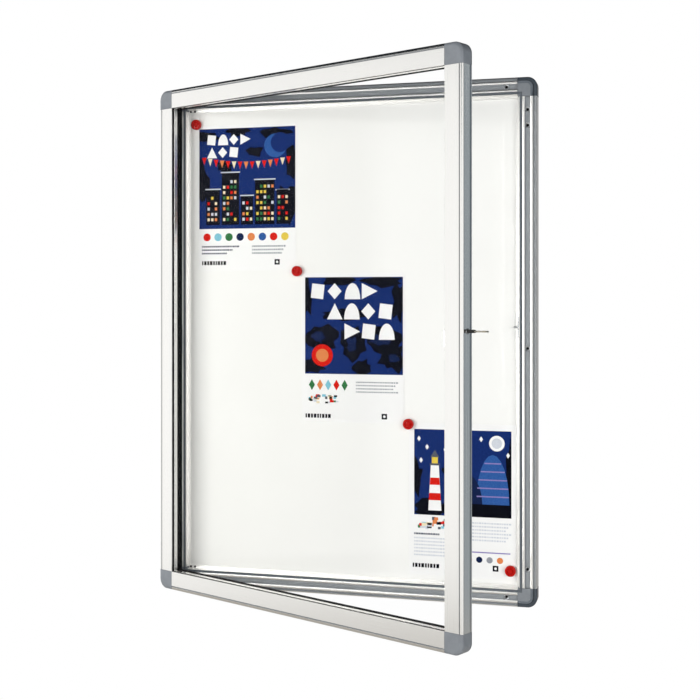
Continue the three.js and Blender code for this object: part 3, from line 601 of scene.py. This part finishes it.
def case_bars():
    """The bars of the case. The flange of a stile ends short of the flange of a rail."""
    outer, hollow = case_section()
    flange = CASE_INNER + FLANGE_W
    for side, node in BAR_NODES.items():
        bm = bmesh.new()
        half = bar_half(side)
        extrusion(bm, outer, hollow, -half, half)
        holes = bmesh.new()
        for x, z in fixing_places(side):
            bore(holes, FIXING_R, CASE_DEPTH + PAST, at(x, 0, z), 24)
        if side in ("left", "right"):
            end = HEIGHT / 2 - flange - FIT
            for sign in (-1, 1):
                low, high = sorted((sign * end, sign * (HEIGHT / 2)))
                box(holes, FACE, flange + PAST, -PAST, CASE_DEPTH + PAST, low, high)
        bm = cut(bm, holes)
        # The channel and the rim groove get the darker aluminium: painted shade.
        paint_groove_shade(bm, [(CHANNEL, CHANNEL_END, CHANNEL_D),
                       (RIM_W / 2, RIDGE_START, RIM_DROP + GROOVE_D)])
        piece("case_" + node + "_bar", bm, [CASE_ALUMINIUM, GROOVE_SHADE_ALUMINIUM], "case",
              CASE @ side_place(side), ["case_" + node],
              own_axes="rail" in node)


def door_bars():
    """The bars of the door, the right one with the bore for the lock."""
    outer, hollow = door_section()
    for side, node in BAR_NODES.items():
        bm = bmesh.new()
        half = bar_half(side)
        extrusion(bm, outer, hollow, -half, half)
        if side == "right":
            hole = bmesh.new()
            lie = at(0, LOCK_DEPTH, -LOCK_RISE) @ Matrix.Rotation(-math.pi / 2, 4, "Z")
            bore(hole, LOCK_R, FACE + 3, lie, 32)
            bm = cut(bm, hole)
        # The groove gets the darker aluminium: painted shade.
        paint_groove_shade(bm, [(BEAD_W, BEAD_W + GROOVE_W, GROOVE_D)])
        piece("door_" + node + "_bar", bm, [ALUMINIUM, GROOVE_SHADE_ALUMINIUM], "door",
              DOOR @ side_place(side), ["door_" + node],
              own_axes="rail" in node)


# Corner pieces

CORNERS = {"bottom_left": (0, -1, -1), "top_left": (1, -1, 1), "top_right": (2, 1, 1),
           "bottom_right": (3, 1, -1)}


def corner_place(name):
    """From a corner piece's own axes, X and Z inward from its point, to the middle of the board."""
    quarter, x, z = CORNERS[name]
    return at(x * WIDTH / 2, 0, z * HEIGHT / 2) @ Matrix.Rotation(quarter * math.pi / 2, 4, "Y")


def corner_plan(inset, radius, far, tip):
    """Plan of a corner piece: round outside, square inside, and the inner tip stepped back."""
    inner = [(far, far, 0)] if tip is None else [(far, tip, 0), (tip, tip, 0), (tip, far, 0)]
    return fillet([(inset, inset, radius), (far, inset, 0)] + inner + [(inset, far, 0)], 14)


def corner_loft(bm, steps, tip=None):
    """A corner piece as plans laid on each other, one for each (inset, depth) from back to front."""
    rings = []
    for inset, depth in steps:
        plan = corner_plan(inset, max(CORNER_R - inset, 1), FACE, tip)
        rings.append([bm.verts.new((p.x, depth, p.y)) for p in plan])
    for low, high in zip(rings, rings[1:]):
        skin(bm, low, high)
    bm.faces.new(rings[0])
    bm.faces.new(rings[-1])


def softened(obj, width, segments=2):
    """A small round on the sharp edges, as a mould leaves it."""
    bevel = obj.modifiers.new("mould_edges", "BEVEL")
    bevel.width = width * MM
    bevel.segments = segments
    bevel.limit_method = "ANGLE"
    bevel.angle_limit = math.radians(50)
    bevel.use_clamp_overlap = True
    bevel.harden_normals = False
    obj.modifiers.move(obj.modifiers.find("mould_edges"), obj.modifiers.find("level_faces"))


def paint_rim_shade(bm, width, behind, slot=1):
    """Gives the outer band of a corner piece, behind a depth, a darker copy of the nylon: painted shade
    where the band rolls away from the light.
    """
    for face in bm.faces:
        c = face.calc_center_median()
        round_in = CORNER_R - math.hypot(CORNER_R - c.x, CORNER_R - c.z)
        if (round_in if max(c.x, c.z) < CORNER_R else min(c.x, c.z)) < width and c.y > behind:
            face.material_index = slot


def door_corner(name):
    bm = bmesh.new()
    back = [(x, DOOR_DEPTH - y) for x, y in reversed(bead(DOOR_BACK_R, DOOR_BACK_R, 0, 4))]
    corner_loft(bm, back + [(0, DOOR_DEPTH - DOOR_RIM)] + bead(BEAD_W, BEAD_D, 0, 12))
    notches = bmesh.new()
    end, glass, seal = FACE + PAST, FACE - REBATE, FACE - DOOR_SEAL_W
    box(notches, glass, end, LIP, SLOT_BACK, glass, end)
    box(notches, seal, end, DOOR_DEPTH - DOOR_SEAL_D, DOOR_DEPTH + PAST, seal, end)
    bm = cut(bm, notches)
    low, high, reach = WALL + FIT, FACE - REBATE - WALL - FIT, FACE + DOOR_SPIGOT
    front, back = BEAD_D + WALL + FIT, DOOR_DEPTH - SCREW - WALL
    box(bm, FACE - LAP, reach, front, back, low, high)
    box(bm, low, high, front, back, FACE - LAP, reach)
    # The back of the outer edge gets the darker nylon: painted shade, a dark outline.
    paint_rim_shade(bm, DOOR_BACK_R, DOOR_DEPTH - DOOR_RIM)
    obj = piece("door_corner_" + name + "_moulding", bm, [NYLON, SHADED_NYLON_RIM], "door",
                DOOR @ corner_place(name), ["door_corner_" + name])
    softened(obj, 0.5)


def case_corner(name):
    """A low outer rim, inside it a terrace, and a raised pad with the slot for the seal."""
    bm = bmesh.new()
    rim = [(0, CASE_DEPTH)] + bead(RIM_W, RIM_D, RIM_DROP, 10)
    floor, pad_foot = RIM_DROP + GROOVE_D, CHANNEL - 0.8
    corner_loft(bm, rim + [(RIM_W + 0.1, floor), (RIDGE_START, floor),
                           (RIDGE_START + 0.1, TERRACE + 0.4), (RIDGE_START + 0.5, TERRACE),
                           (pad_foot, TERRACE), (CHANNEL - 0.6, 0.3), (CHANNEL, 0)], CASE_INNER)
    end, wide = FACE + PAST, SLOT + SLOT_W
    for x1, z1 in ((end, wide), (wide, end)):
        groove = bmesh.new()
        box(groove, SLOT, x1, -PAST, SLOT_D, SLOT, z1)
        bm = cut(bm, groove)
    low, high, reach = WALL + FIT, CASE_INNER - WALL - FIT, FACE + CASE_SPIGOT
    front, back = SLOT_D + WALL + FIT, CASE_DEPTH - WALL - FIT
    box(bm, FACE - LAP, reach, front, back, low, high)
    box(bm, low, high, front, back, FACE - LAP, reach)
    flange = CASE_INNER - LAP
    box(bm, flange, FACE, FLANGE_D, FLANGE_D + FLANGE_T, flange, FACE)
    # The terrace and the outer rim get darker copies of the nylon: painted shade.
    paint_rim_shade(bm, pad_foot, 0, 2)
    paint_rim_shade(bm, RIDGE_START + 0.5, 0)
    obj = piece("case_corner_" + name + "_moulding", bm, [NYLON, SHADED_NYLON_RIM, SHADED_NYLON_STEP], "case",
                CASE @ corner_place(name), ["case_corner_" + name])
    softened(obj, 0.5)


# Fasteners

def eyelets():
    """Bright cupped eyelets on the floor of the channel, and a black sleeve in each wall fixing hole.
    The sleeve is closed at its far end, and its black is painted shade for the depth of the hole."""
    bm = bmesh.new()
    floor = CHANNEL_D - 0.02
    lip, end = floor - 1.8, floor + 11
    cup_r, bore_r, sleeve_r = 4.9, 2.6, FIXING_R - 0.03
    profile = [(bore_r, floor - 0.2, 0.2), (cup_r - 0.3, lip, 0.3), (cup_r, lip, 0.2),
               (cup_r, floor, 0), (sleeve_r, floor, 0), (sleeve_r, end, 0), (0, end, 0),
               (0, end - 0.6, 0), (bore_r, end - 0.6, 0)]
    for side in SIDES:
        for x, z in fixing_places(side):
            turned(bm, profile, side_place(side) @ at(x, 0, z), 32)
    # All behind the channel floor is black: painted shade down the hole.
    for face in bm.faces:
        if face.calc_center_median().y > floor:
            face.material_index = 1
    piece("wall_fixing_eyelets", bm, [ZINC, ACETAL], "case", CASE)


def countersunk(bm, place):
    """A countersunk screw, its head towards +Y of the place, with a cross recess."""
    one = bmesh.new()
    shank, head = 1.2, 2.2
    turned(one, [(0, -SCREW, 0), (shank, -SCREW, 0.3), (shank, shank - head, 0), (head, -0.05, 0.05),
                 (head, 0, 0.05), (0, 0, 0)], Matrix.Identity(4), 24)
    arm, slit = 1.3, 0.3
    for x, z in ((arm, slit), (slit, arm)):
        cross = bmesh.new()
        box(cross, -x, x, -0.7, 1, -z, z)
        one = cut(one, cross)
    one.transform(place)
    mesh = bpy.data.meshes.new("screw")
    one.to_mesh(mesh)
    one.free()
    bm.from_mesh(mesh)
    bpy.data.meshes.remove(mesh)


def hinge_screws():
    leaf = DOOR_GAP / 2 - FIT - LEAF
    for body, place, y, spin in (("case", HINGE_CASE, leaf, math.pi), ("door", HINGE_DOOR, -leaf, 0)):
        bm = bmesh.new()
        for height in HINGE_HEIGHTS:
            for inset, rise in HINGE_SCREWS:
                countersunk(bm, at(inset - WIDTH / 2 - HINGE_X, y, height + rise)
                            @ Matrix.Rotation(spin, 4, "X"))
        piece("hinge_" + body + "_screws", bm, ZINC, body, place)


# Lock and key

def key():
    """Flat key: an oval bow and blade in one plate, and a black grip moulded over its neck."""
    bm = bmesh.new()
    bow_half, blade_half, grip_half = 1.3, 0.88, 4.5
    extrusion(bm, oval(28.5, 0, 11, 9, 48), oval(32.9, 0, 1.9, 1.9, 24), -bow_half, bow_half)
    blade = [(-24.8, -2.6), (18, -2.6), (18, 2.6), (-3, 2.6), (-6, 1.2), (-9, 2.4), (-12, 0.7),
             (-15, 1.6), (-18, 0.9), (-21, 2), (-24.8, 0.4)]
    a = [bm.verts.new((x, y, -blade_half)) for x, y in blade]
    b = [bm.verts.new((x, y, blade_half)) for x, y in blade]
    skin(bm, a, b)
    bm.faces.new(a)
    bm.faces.new(b)
    obj = piece("key_plate", bm, NICKEL, "key", LOCK, ["key_blade"])
    softened(obj, 0.25)
    bm = bmesh.new()
    near, far, half, r = 1, 13.5, 2.8, 2.79
    plan = fillet([(near, -half, r), (far, -half, r), (far, half, r), (near, half, r)], 8)
    prism(bm, plan, -grip_half, grip_half)
    obj = piece("key_grip_sleeve", bm, ACETAL, "key", LOCK, ["key_grip"])
    softened(obj, 0.9, 4)


# Notices and magnets

# The artwork is drawn in millimetres from the middle of its sheet

def rect(x, z, w, h):
    return [(x, z), (x + w, z), (x + w, z + h), (x, z + h)]


def disc(x, z, r, sides=40):
    return oval(x, z, r, r, sides)


def blots(field, ink, patches):
    """Irregular patches of ink, each (x, z, half width, half height), kept inside a field."""
    x0, z0, w, h = field
    out = []
    for x, z, across, up in patches:
        ring = [(2 * math.pi * k / 16, random.uniform(0.5, 1.0)) for k in range(16)]
        points = [(x + across * r * math.cos(a), z + up * r * math.sin(a)) for a, r in ring]
        out.append((ink, [(min(max(px, x0), x0 + w), min(max(pz, z0), z0 + h)) for px, pz in points]))
    return out


OUTLINES = {
    "gem": [(0.45, 0), (0.9, 0.5), (0.45, 1), (0, 0.5)],
    "hill": [(0.5 + 0.5 * math.cos(math.pi * k / 12), math.sin(math.pi * k / 12)) for k in range(13)],
    "flag": [(0, 0), (1, 0.5), (0, 1)],
    "tent": [(0, 0), (1, 0), (0.5, 1)],
    "tile": [(0, 0.1), (0.8, 0), (0.9, 0.9), (0.1, 1)],
    "pennant": [(0, 1), (1, 1), (0.5, 0)]}


def cut_out(ink, kind, x, z, w, h):
    """One plain shape, as cut from paper, stretched to a width and a height."""
    return ink, [(x + w * u, z + h * v) for u, v in OUTLINES[kind]]


def shape_row(x, z, size, kinds):
    """White shapes side by side."""
    pitch = 1.1 * size
    return [cut_out("white", kind, x + pitch * i, z, size, size) for i, kind in enumerate(kinds)]


def dashes(x, z, count, ink, high, wide):
    """A line of short marks of uneven width, in the place of small type."""
    out = []
    for k in range(count):
        w = wide * (0.6, 1, 0.8, 1.1, 0.7)[k % 5]
        out.append((ink, rect(x, z, w, high)))
        x += w + wide * 0.35
    return out


def foot_marks(low=-137):
    """A row of upright bars at the left foot of a sheet and a small square mark at the right."""
    marks = dashes(-97, low, 9, "navy", 8, 5) + [("navy", rect(60, low, 11, 11))]
    return marks, [("white", disc(65.5, low + 5.5, 2.6))]


def speckles(x, z, w, h, count, size):
    """A scatter of small bright tiles."""
    inks = ("red", "cream", "green", "ash", "orange", "pale", "navy", "teal")
    return [(inks[k % 8], rect(x + random.uniform(0, w), z + random.uniform(0, h),
                               size * random.uniform(0.7, 1.6), size * random.uniform(0.6, 1.1)))
            for k in range(count)]


def print_upper():
    """A town at night: dark towers with lit windows, a moon and a string of pennants."""
    field = (-103, -63, 207, 205)
    sky = blots(field, "navy", [(-84, 126, 34, 16), (-18, 134, 30, 12), (62, 128, 40, 14),
                                (96, 70, 18, 46), (-98, 40, 20, 50), (18, 92, 26, 12),
                                (92, -14, 30, 54), (-48, 62, 22, 16)])
    towers, lights, pennants = [], [], []
    panes = ("cream", "yellow", "red", "pale", "orange", "navy", "navy", "green")
    for x, w, h in ((-88, 30, 74), (-54, 38, 108), (-12, 26, 60), (18, 42, 92), (64, 26, 70)):
        towers.append(("navy", rect(x, -55, w, h)))
        towers.append(("pale", rect(x - 2, h - 57, w + 4, 2.4)))
        for row in range(int(h / 11) - 1):
            for col in range(int(w / 8)):
                lights.append((random.choice(panes), rect(x + 3 + 8 * col, -47 + 11 * row, 5, 6)))
    for k in range(15):
        x = -97 + 13 * k
        ink = ("red", "cream", "red", "orange")[k % 4]
        pennants.append(cut_out(ink, "pennant", x, 58 + x * x / 900, 10, 15))
    shapes = shape_row(-86, 108, 22, ("tile", "hill", "gem", "flag"))
    shapes += shape_row(-86, 82, 22, ("tent", "gem", "tile"))
    spots = ("red", "teal", "green", "dusk", "orange", "sky", "red", "yellow")
    below = [(ink, disc(-86 + 24 * k, -80, 8)) for k, ink in enumerate(spots)]
    for k in range(3):
        below += dashes(-97, -101 - 7 * k, 19 - 3 * k, "dusk", 3.4, 3.6)
        below += dashes(12, -101 - 7 * k, 17 - k, "grey", 3.4, 3.6)
    marks, dots = foot_marks()
    moon, shade = [("sky", disc(62, 104, 24))], [("blue", disc(72, 110, 20))]
    return [[("blue", rect(*field))], sky + moon, shade + towers, lights + shapes,
            pennants + below + marks, dots]


def print_middle():
    """Steps of plain shapes over dark leaves, a red sun, and small leaves and tiles below."""
    field = (-98, -53, 201, 193)
    leaves = blots(field, "navy", [(-96, 100, 16, 56), (-30, 134, 40, 14), (60, 132, 50, 16),
                                   (94, 92, 16, 50), (-66, 20, 46, 32), (0, 8, 36, 40),
                                   (58, 16, 52, 36), (-80, -36, 34, 24), (20, -40, 30, 22),
                                   (80, -20, 40, 36), (-20, 66, 60, 14)])
    veins = blots(field, "dusk", [(-70, 20, 18, 14), (-2, 6, 12, 22), (54, 16, 28, 14),
                                  (84, -20, 14, 12)])
    steps = shape_row(-86, 96, 32, ("tile", "gem", "hill", "flag"))
    steps += shape_row(-52, 56, 32, ("tent", "hill", "gem", "tile"))
    steps += shape_row(-16, 16, 32, ("flag", "tile", "hill"))
    small = [cut_out(ink, "gem", -90 + 17 * k, -86, 14, 22)
             for k, ink in enumerate(("green", "orange", "teal", "red", "green"))]
    for k in range(4):
        small += dashes(8, -70 - 6.4 * k, 19 - k % 3, "grey", 2.6, 3.8)
    marks, dots = foot_marks(-141)
    return [[("blue", rect(*field))], leaves, veins + steps,
            [("red", disc(-62, -16, 22))] + small + marks, dots + [("orange", disc(-62, -16, 13))],
            speckles(-96, -112, 62, 14, 30, 5)]


def print_lower():
    """A coast by night: a terraced hill under a pale moon, a lighthouse, and small stars."""
    field = (-94, -31, 190, 167)
    ground = blots(field, "navy", [(70, -14, 56, 30), (8, -18, 60, 26), (94, 60, 12, 76),
                                   (-90, 40, 16, 50), (-60, -20, 50, 24), (-20, 60, 26, 16)])
    hills = [cut_out("sky", "hill", 28, -6, 64, 96), cut_out("dusk", "hill", -30, -6, 70, 60)]
    lines = [("lilac", rect(60 - half, z, 2 * half, 2.4))
             for z, half in ((8, 31), (24, 30), (40, 27.5), (56, 23), (72, 16))]
    tower = [("white", [(-66, -22), (-40, -22), (-45, 66), (-61, 66)]), ("ash", rect(-63, 66, 20, 4)),
             ("yellow", rect(-59, 70, 12, 12)), cut_out("ash", "tent", -62, 82, 18, 14)]
    bands = [("red", [(-64.9, -2), (-41.1, -2), (-42, 12), (-64, 12)]),
             ("red", [(-63, 28), (-43, 28), (-43.9, 42), (-62.1, 42)])]
    stars = [cut_out("white", "gem", x, z, 8, 11)
             for x, z in ((-88, 112), (-72, 96), (-84, 70), (-30, 116), (-36, 92), (34, 114), (86, 84))]
    below = speckles(-92, -60, 60, 20, 22, 7) + [("lilac", rect(2, -100, 92, 2.4))]
    for k in range(6):
        below += dashes(6, -44 - 6.6 * k, 19 - k % 3, "pale", 3, 4)
        below += dashes(-94, -78 - 6.6 * k, 15 - k % 2, "pale", 3, 4)
    below += [(ink, disc(14 + 20 * k, -113, 6))
              for k, ink in enumerate(("red", "dusk", "grey", "orange"))]
    below += dashes(-94, -70, 11, "dusk", 3.6, 4)
    marks, dots = foot_marks(-134)
    return [[("blue", rect(*field))], ground, hills + stars + [("white", disc(68, 112, 15))],
            lines + tower + [("pale", disc(68, 112, 10))], bands + below + marks, dots]


def notices():
    """Paper sheets with flat ink shapes on them. Shapes that overlap lie at their own heights."""
    names = list(INKS)
    wide, high = SHEET_W / 2, SHEET_H / 2
    prints = {"upper": print_upper(), "middle": print_middle(), "lower": print_lower()}
    for name, layers in prints.items():
        x, z = SHEETS[name]
        bm = bmesh.new()
        box(bm, -wide, wide, -PAPER_T, 0, -high, high)
        for layer, art in enumerate(layers, 1):
            for i, (ink, points) in enumerate(art):
                y = -PAPER_T - INK_T * (layer + i % 5 / 5)
                face = bm.faces.new([bm.verts.new((px, y, pz)) for px, pz in points])
                face.material_index = 1 + names.index(ink)
        piece("notice_" + name, bm, [PAPER] + [INKS[n] for n in names], "case",
              CASE @ at(x, PANEL_FRONT - FIT, z), ["notice_sheet_" + name])


def magnet_places():
    """Middle of each magnet, from the corner of the sheet that it holds or lies beside."""
    up, mid, low = SHEETS["upper"], SHEETS["middle"], SHEETS["lower"]
    wide, high = SHEET_W / 2, SHEET_H / 2
    return [(up[0] - wide - 3.4, up[1] + high + 2.9), (up[0] + wide + 3.6, up[1] - high - 2.2),
            (mid[0] + wide + 9.5, mid[1] - high), (low[0] + wide - MAGNET_R, low[1] - high + 17.8)]


def magnets():
    """Round caps with a rolled rim and a ring moulded in the face, hollow for the ferrite."""
    r, wall, top, room, ring = MAGNET_R, 1.6, -7.5, -4.3, -5.9
    profile = [(0, room, 0), (r - wall, room, 0), (r - wall, 0, 0.1), (r, 0, 0.3), (r, top + 0.9, 1.4),
               (r - 2, top, 1.2), (r - 4, top, 0.3), (r - 4.4, ring, 0.2), (r - 5.7, ring, 0.2),
               (r - 6.1, top, 0.3), (0, top, 0)]
    for i, (x, z) in enumerate(magnet_places(), 1):
        bm = bmesh.new()
        turned(bm, profile, Matrix.Identity(4), 64)
        piece(f"magnet_{i}_cap", bm, RED_POLYSTYRENE, f"magnet_{i}",
              CASE @ at(x, PANEL_FRONT - MAGNET_SEAT, z), [f"magnet_cap_{i}"], smooth=50)


# Nodes that keep their own solid

def dress(node, material):
    obj = frame["nodes"][node]
    obj.data.materials.clear()
    obj.data.materials.append(material)


def dress_nodes():
    leaves = [f"hinge_{h}_{p}" for h in ("bottom", "middle", "top")
              for p in ("case_leaf", "door_leaf", "pin")]
    finishes = {
        ENAMEL: ["panel_sheet"], FIBRE: ["panel_core"], GLASS: ["glazing_pane"], NICKEL: ["lock_plug"],
        GREY_RUBBER: ["case_seal"], BLACK_RUBBER: ["glazing_gasket", "door_seal"],
        BLACK_ZINC: [f"flange_screw_{i}" for i in range(1, 5)],
        FERRITE: [f"magnet_core_{i}" for i in range(1, 5)],
        ZINC: ["panel_back_sheet", "keeper_plate", "keeper_screw_lower", "keeper_screw_upper",
               "lock_barrel", "lock_nut", "lock_cam", "cam_screw"] + leaves,
    }
    for material, nodes in finishes.items():
        for node in nodes:
            dress(node, material)


# Stage

# Sizes and places here are in metres
FLOOR_Z, FLOOR_R, FLOOR_GLOW = -1.5, 2.1, 0.42
CARD_R, CARD_FOOT, CARD_TOP = 3.6, -1.6, 1.5
SOFTBOX = 1.6


def staged(name, bm, material):
    """A piece of the studio, which isn't part of the board."""
    mesh = bpy.data.meshes.new(name)
    bm.to_mesh(mesh)
    bm.free()
    mesh.materials.append(material)
    obj = bpy.data.objects.new(name, mesh)
    bpy.context.scene.collection.objects.link(obj)
    return obj


def floor():
    """A pale floor below the board, which hangs on a wall that isn't shown. As seen, it is lifted
    a little and fades towards the white background near its rim. It keeps the board's shadow."""
    bm = bmesh.new()
    bm.faces.new([bm.verts.new((x, y, FLOOR_Z)) for x, y in disc(0, 0, FLOOR_R, 96)])
    material, tree, shader = surface("floor_paint", "#F0F0EE", 0.7)
    seen = seen_ray(tree)
    lift = add(tree, "ShaderNodeMath", {"operation": "MULTIPLY"}, {1: FLOOR_GLOW}, {0: (seen, "Value")})
    tree.links.new(lift.outputs["Value"], shader.inputs["Emission Strength"])
    shader.inputs["Emission Color"].default_value = (1, 1, 1, 1)
    place = add(tree, "ShaderNodeTexCoord")
    reach = add(tree, "ShaderNodeVectorMath", {"operation": "LENGTH"}, links={0: (place, "Object")})
    rim = add(tree, "ShaderNodeMapRange", {"interpolation_type": "SMOOTHSTEP"},
              {"From Min": 1.7, "From Max": 2.55}, {"Value": (reach, "Value")})
    fade = add(tree, "ShaderNodeMath", {"operation": "MULTIPLY"},
               links={0: (rim, "Result"), 1: (seen, "Value")})
    white = add(tree, "ShaderNodeEmission")
    both = add(tree, "ShaderNodeMixShader",
               links={0: (fade, "Value"), 1: (shader, "BSDF"), 2: (white, "Emission")})
    tree.links.new(both.outputs["Shader"], tree.nodes["Material Output"].inputs["Surface"])
    staged("floor", bm, material)


def seen_ray(tree):
    """One for a ray that shows the background: straight, mirrored in metal or through glass."""
    rays = add(tree, "ShaderNodeLightPath")
    seen = add(tree, "ShaderNodeMath", {"operation": "MAXIMUM"},
               links={0: (rays, "Is Camera Ray"), 1: (rays, "Is Glossy Ray")})
    return add(tree, "ShaderNodeMath", {"operation": "MAXIMUM"},
               links={0: (seen, "Value"), 1: (rays, "Is Transmission Ray")})


def card(name, grey, rings, shades=False):
    """A grey card that glossy metal and plastic see, as strips between rings of points. One that
    shades also keeps the soft light off the faces turned to it."""
    material = bpy.data.materials.new(name)
    material.use_nodes = True
    tree = material.node_tree
    tree.nodes.clear()
    glow = add(tree, "ShaderNodeEmission", values={"Color": linear(grey)})
    add(tree, "ShaderNodeOutputMaterial", links={"Surface": (glow, "Emission")})
    bm = bmesh.new()
    made = [[bm.verts.new(p) for p in ring] for ring in rings]
    for low, high in zip(made, made[1:]):
        for i in range(len(low) - 1):
            bm.faces.new((low[i], low[i + 1], high[i + 1], high[i]))
    obj = staged(name, bm, material)
    obj.visible_diffuse = shades
    for kind in ("camera", "transmission", "shadow", "volume_scatter"):
        setattr(obj, "visible_" + kind, False)


def arc(radius, z, start, end, steps):
    """Points on a level circle round the board, between two directions in degrees."""
    turns = [math.radians(start + (end - start) * k / steps) for k in range(steps + 1)]
    return [(radius * math.cos(a), radius * math.sin(a), z) for a in turns]


def upright(foot, start, end):
    """Foot and top edge of a curved card that stands between two directions in degrees."""
    return [arc(CARD_R, z, start, end, 24) for z in (foot, CARD_TOP)]


def level(radius, z):
    """Outer edge and pin hole of a round card that lies level."""
    return [arc(r, z, -180, 180, 48) for r in (radius, 0.01)]


def cards():
    """Grey studio cards: a high strip in front, a wall from the right round to the back, a ceiling,
    and one over the floor. The left side stays open to the white."""
    card("front_card", "#7C8288", upright(0.95, -118, -84))
    card("edge_card", "#565E67", upright(CARD_FOOT, -30, 8), True)
    card("right_card", "#949CA2", upright(CARD_FOOT, 8, 62), True)
    card("side_card", "#BDB7B1", upright(CARD_FOOT, 62, 110))
    card("ceiling_card", "#202428", level(4.4, 1.85), True)
    card("ground_card", "#A8A49E", level(CARD_R, -1.45))


def world():
    """White behind the board and in its metal and glass, and a dimmer even light on it."""
    w = bpy.data.worlds.new("studio")
    bpy.context.scene.world = w
    w.use_nodes = True
    tree = w.node_tree
    back = tree.nodes["Background"]
    back.inputs["Color"].default_value = (1, 1, 1, 1)
    strength = add(tree, "ShaderNodeMapRange", values={"To Min": 0.55, "To Max": 1.0},
                   links={"Value": (seen_ray(tree), "Value")})
    tree.links.new(strength.outputs["Result"], back.inputs["Strength"])


def lamp(name, place, aim, power):
    """A softbox that lights the board but isn't mirrored in it."""
    data = bpy.data.lights.new(name, "AREA")
    data.shape = "RECTANGLE"
    data.size = data.size_y = SOFTBOX
    data.energy = power
    obj = bpy.data.objects.new(name, data)
    obj.location = place
    obj.rotation_euler = (Vector(aim) - Vector(place)).to_track_quat("-Z", "Y").to_euler()
    obj.visible_glossy = False
    bpy.context.scene.collection.objects.link(obj)


def camera():
    """The photograph's view: level, 2.3 m in front of the wall and turned 15.2 degrees left."""
    data = bpy.data.cameras.new("camera")
    data.sensor_width = 36
    data.lens = 61.1
    data.shift_y = -0.069
    obj = bpy.data.objects.new("camera", data)
    obj.location = (0.623, -2.294, 0.077)
    obj.rotation_euler = (math.pi / 2, 0, math.radians(15.19))
    bpy.context.scene.collection.objects.link(obj)
    bpy.context.scene.camera = obj


random.seed(4)
camera()
floor()
cards()
world()
lamp("key_softbox", (-2.5, -2.9, 0.3), (0, 0, 0), 82)
lamp("fill_softbox", (2.6, -2.4, 0.3), (0.1, 0, 0), 46)
case_bars()
door_bars()
for corner in CORNERS:
    case_corner(corner)
    door_corner(corner)
eyelets()
hinge_screws()
key()
notices()
magnets()
dress_nodes()
bpy.context.scene.view_settings.view_transform = "Standard"
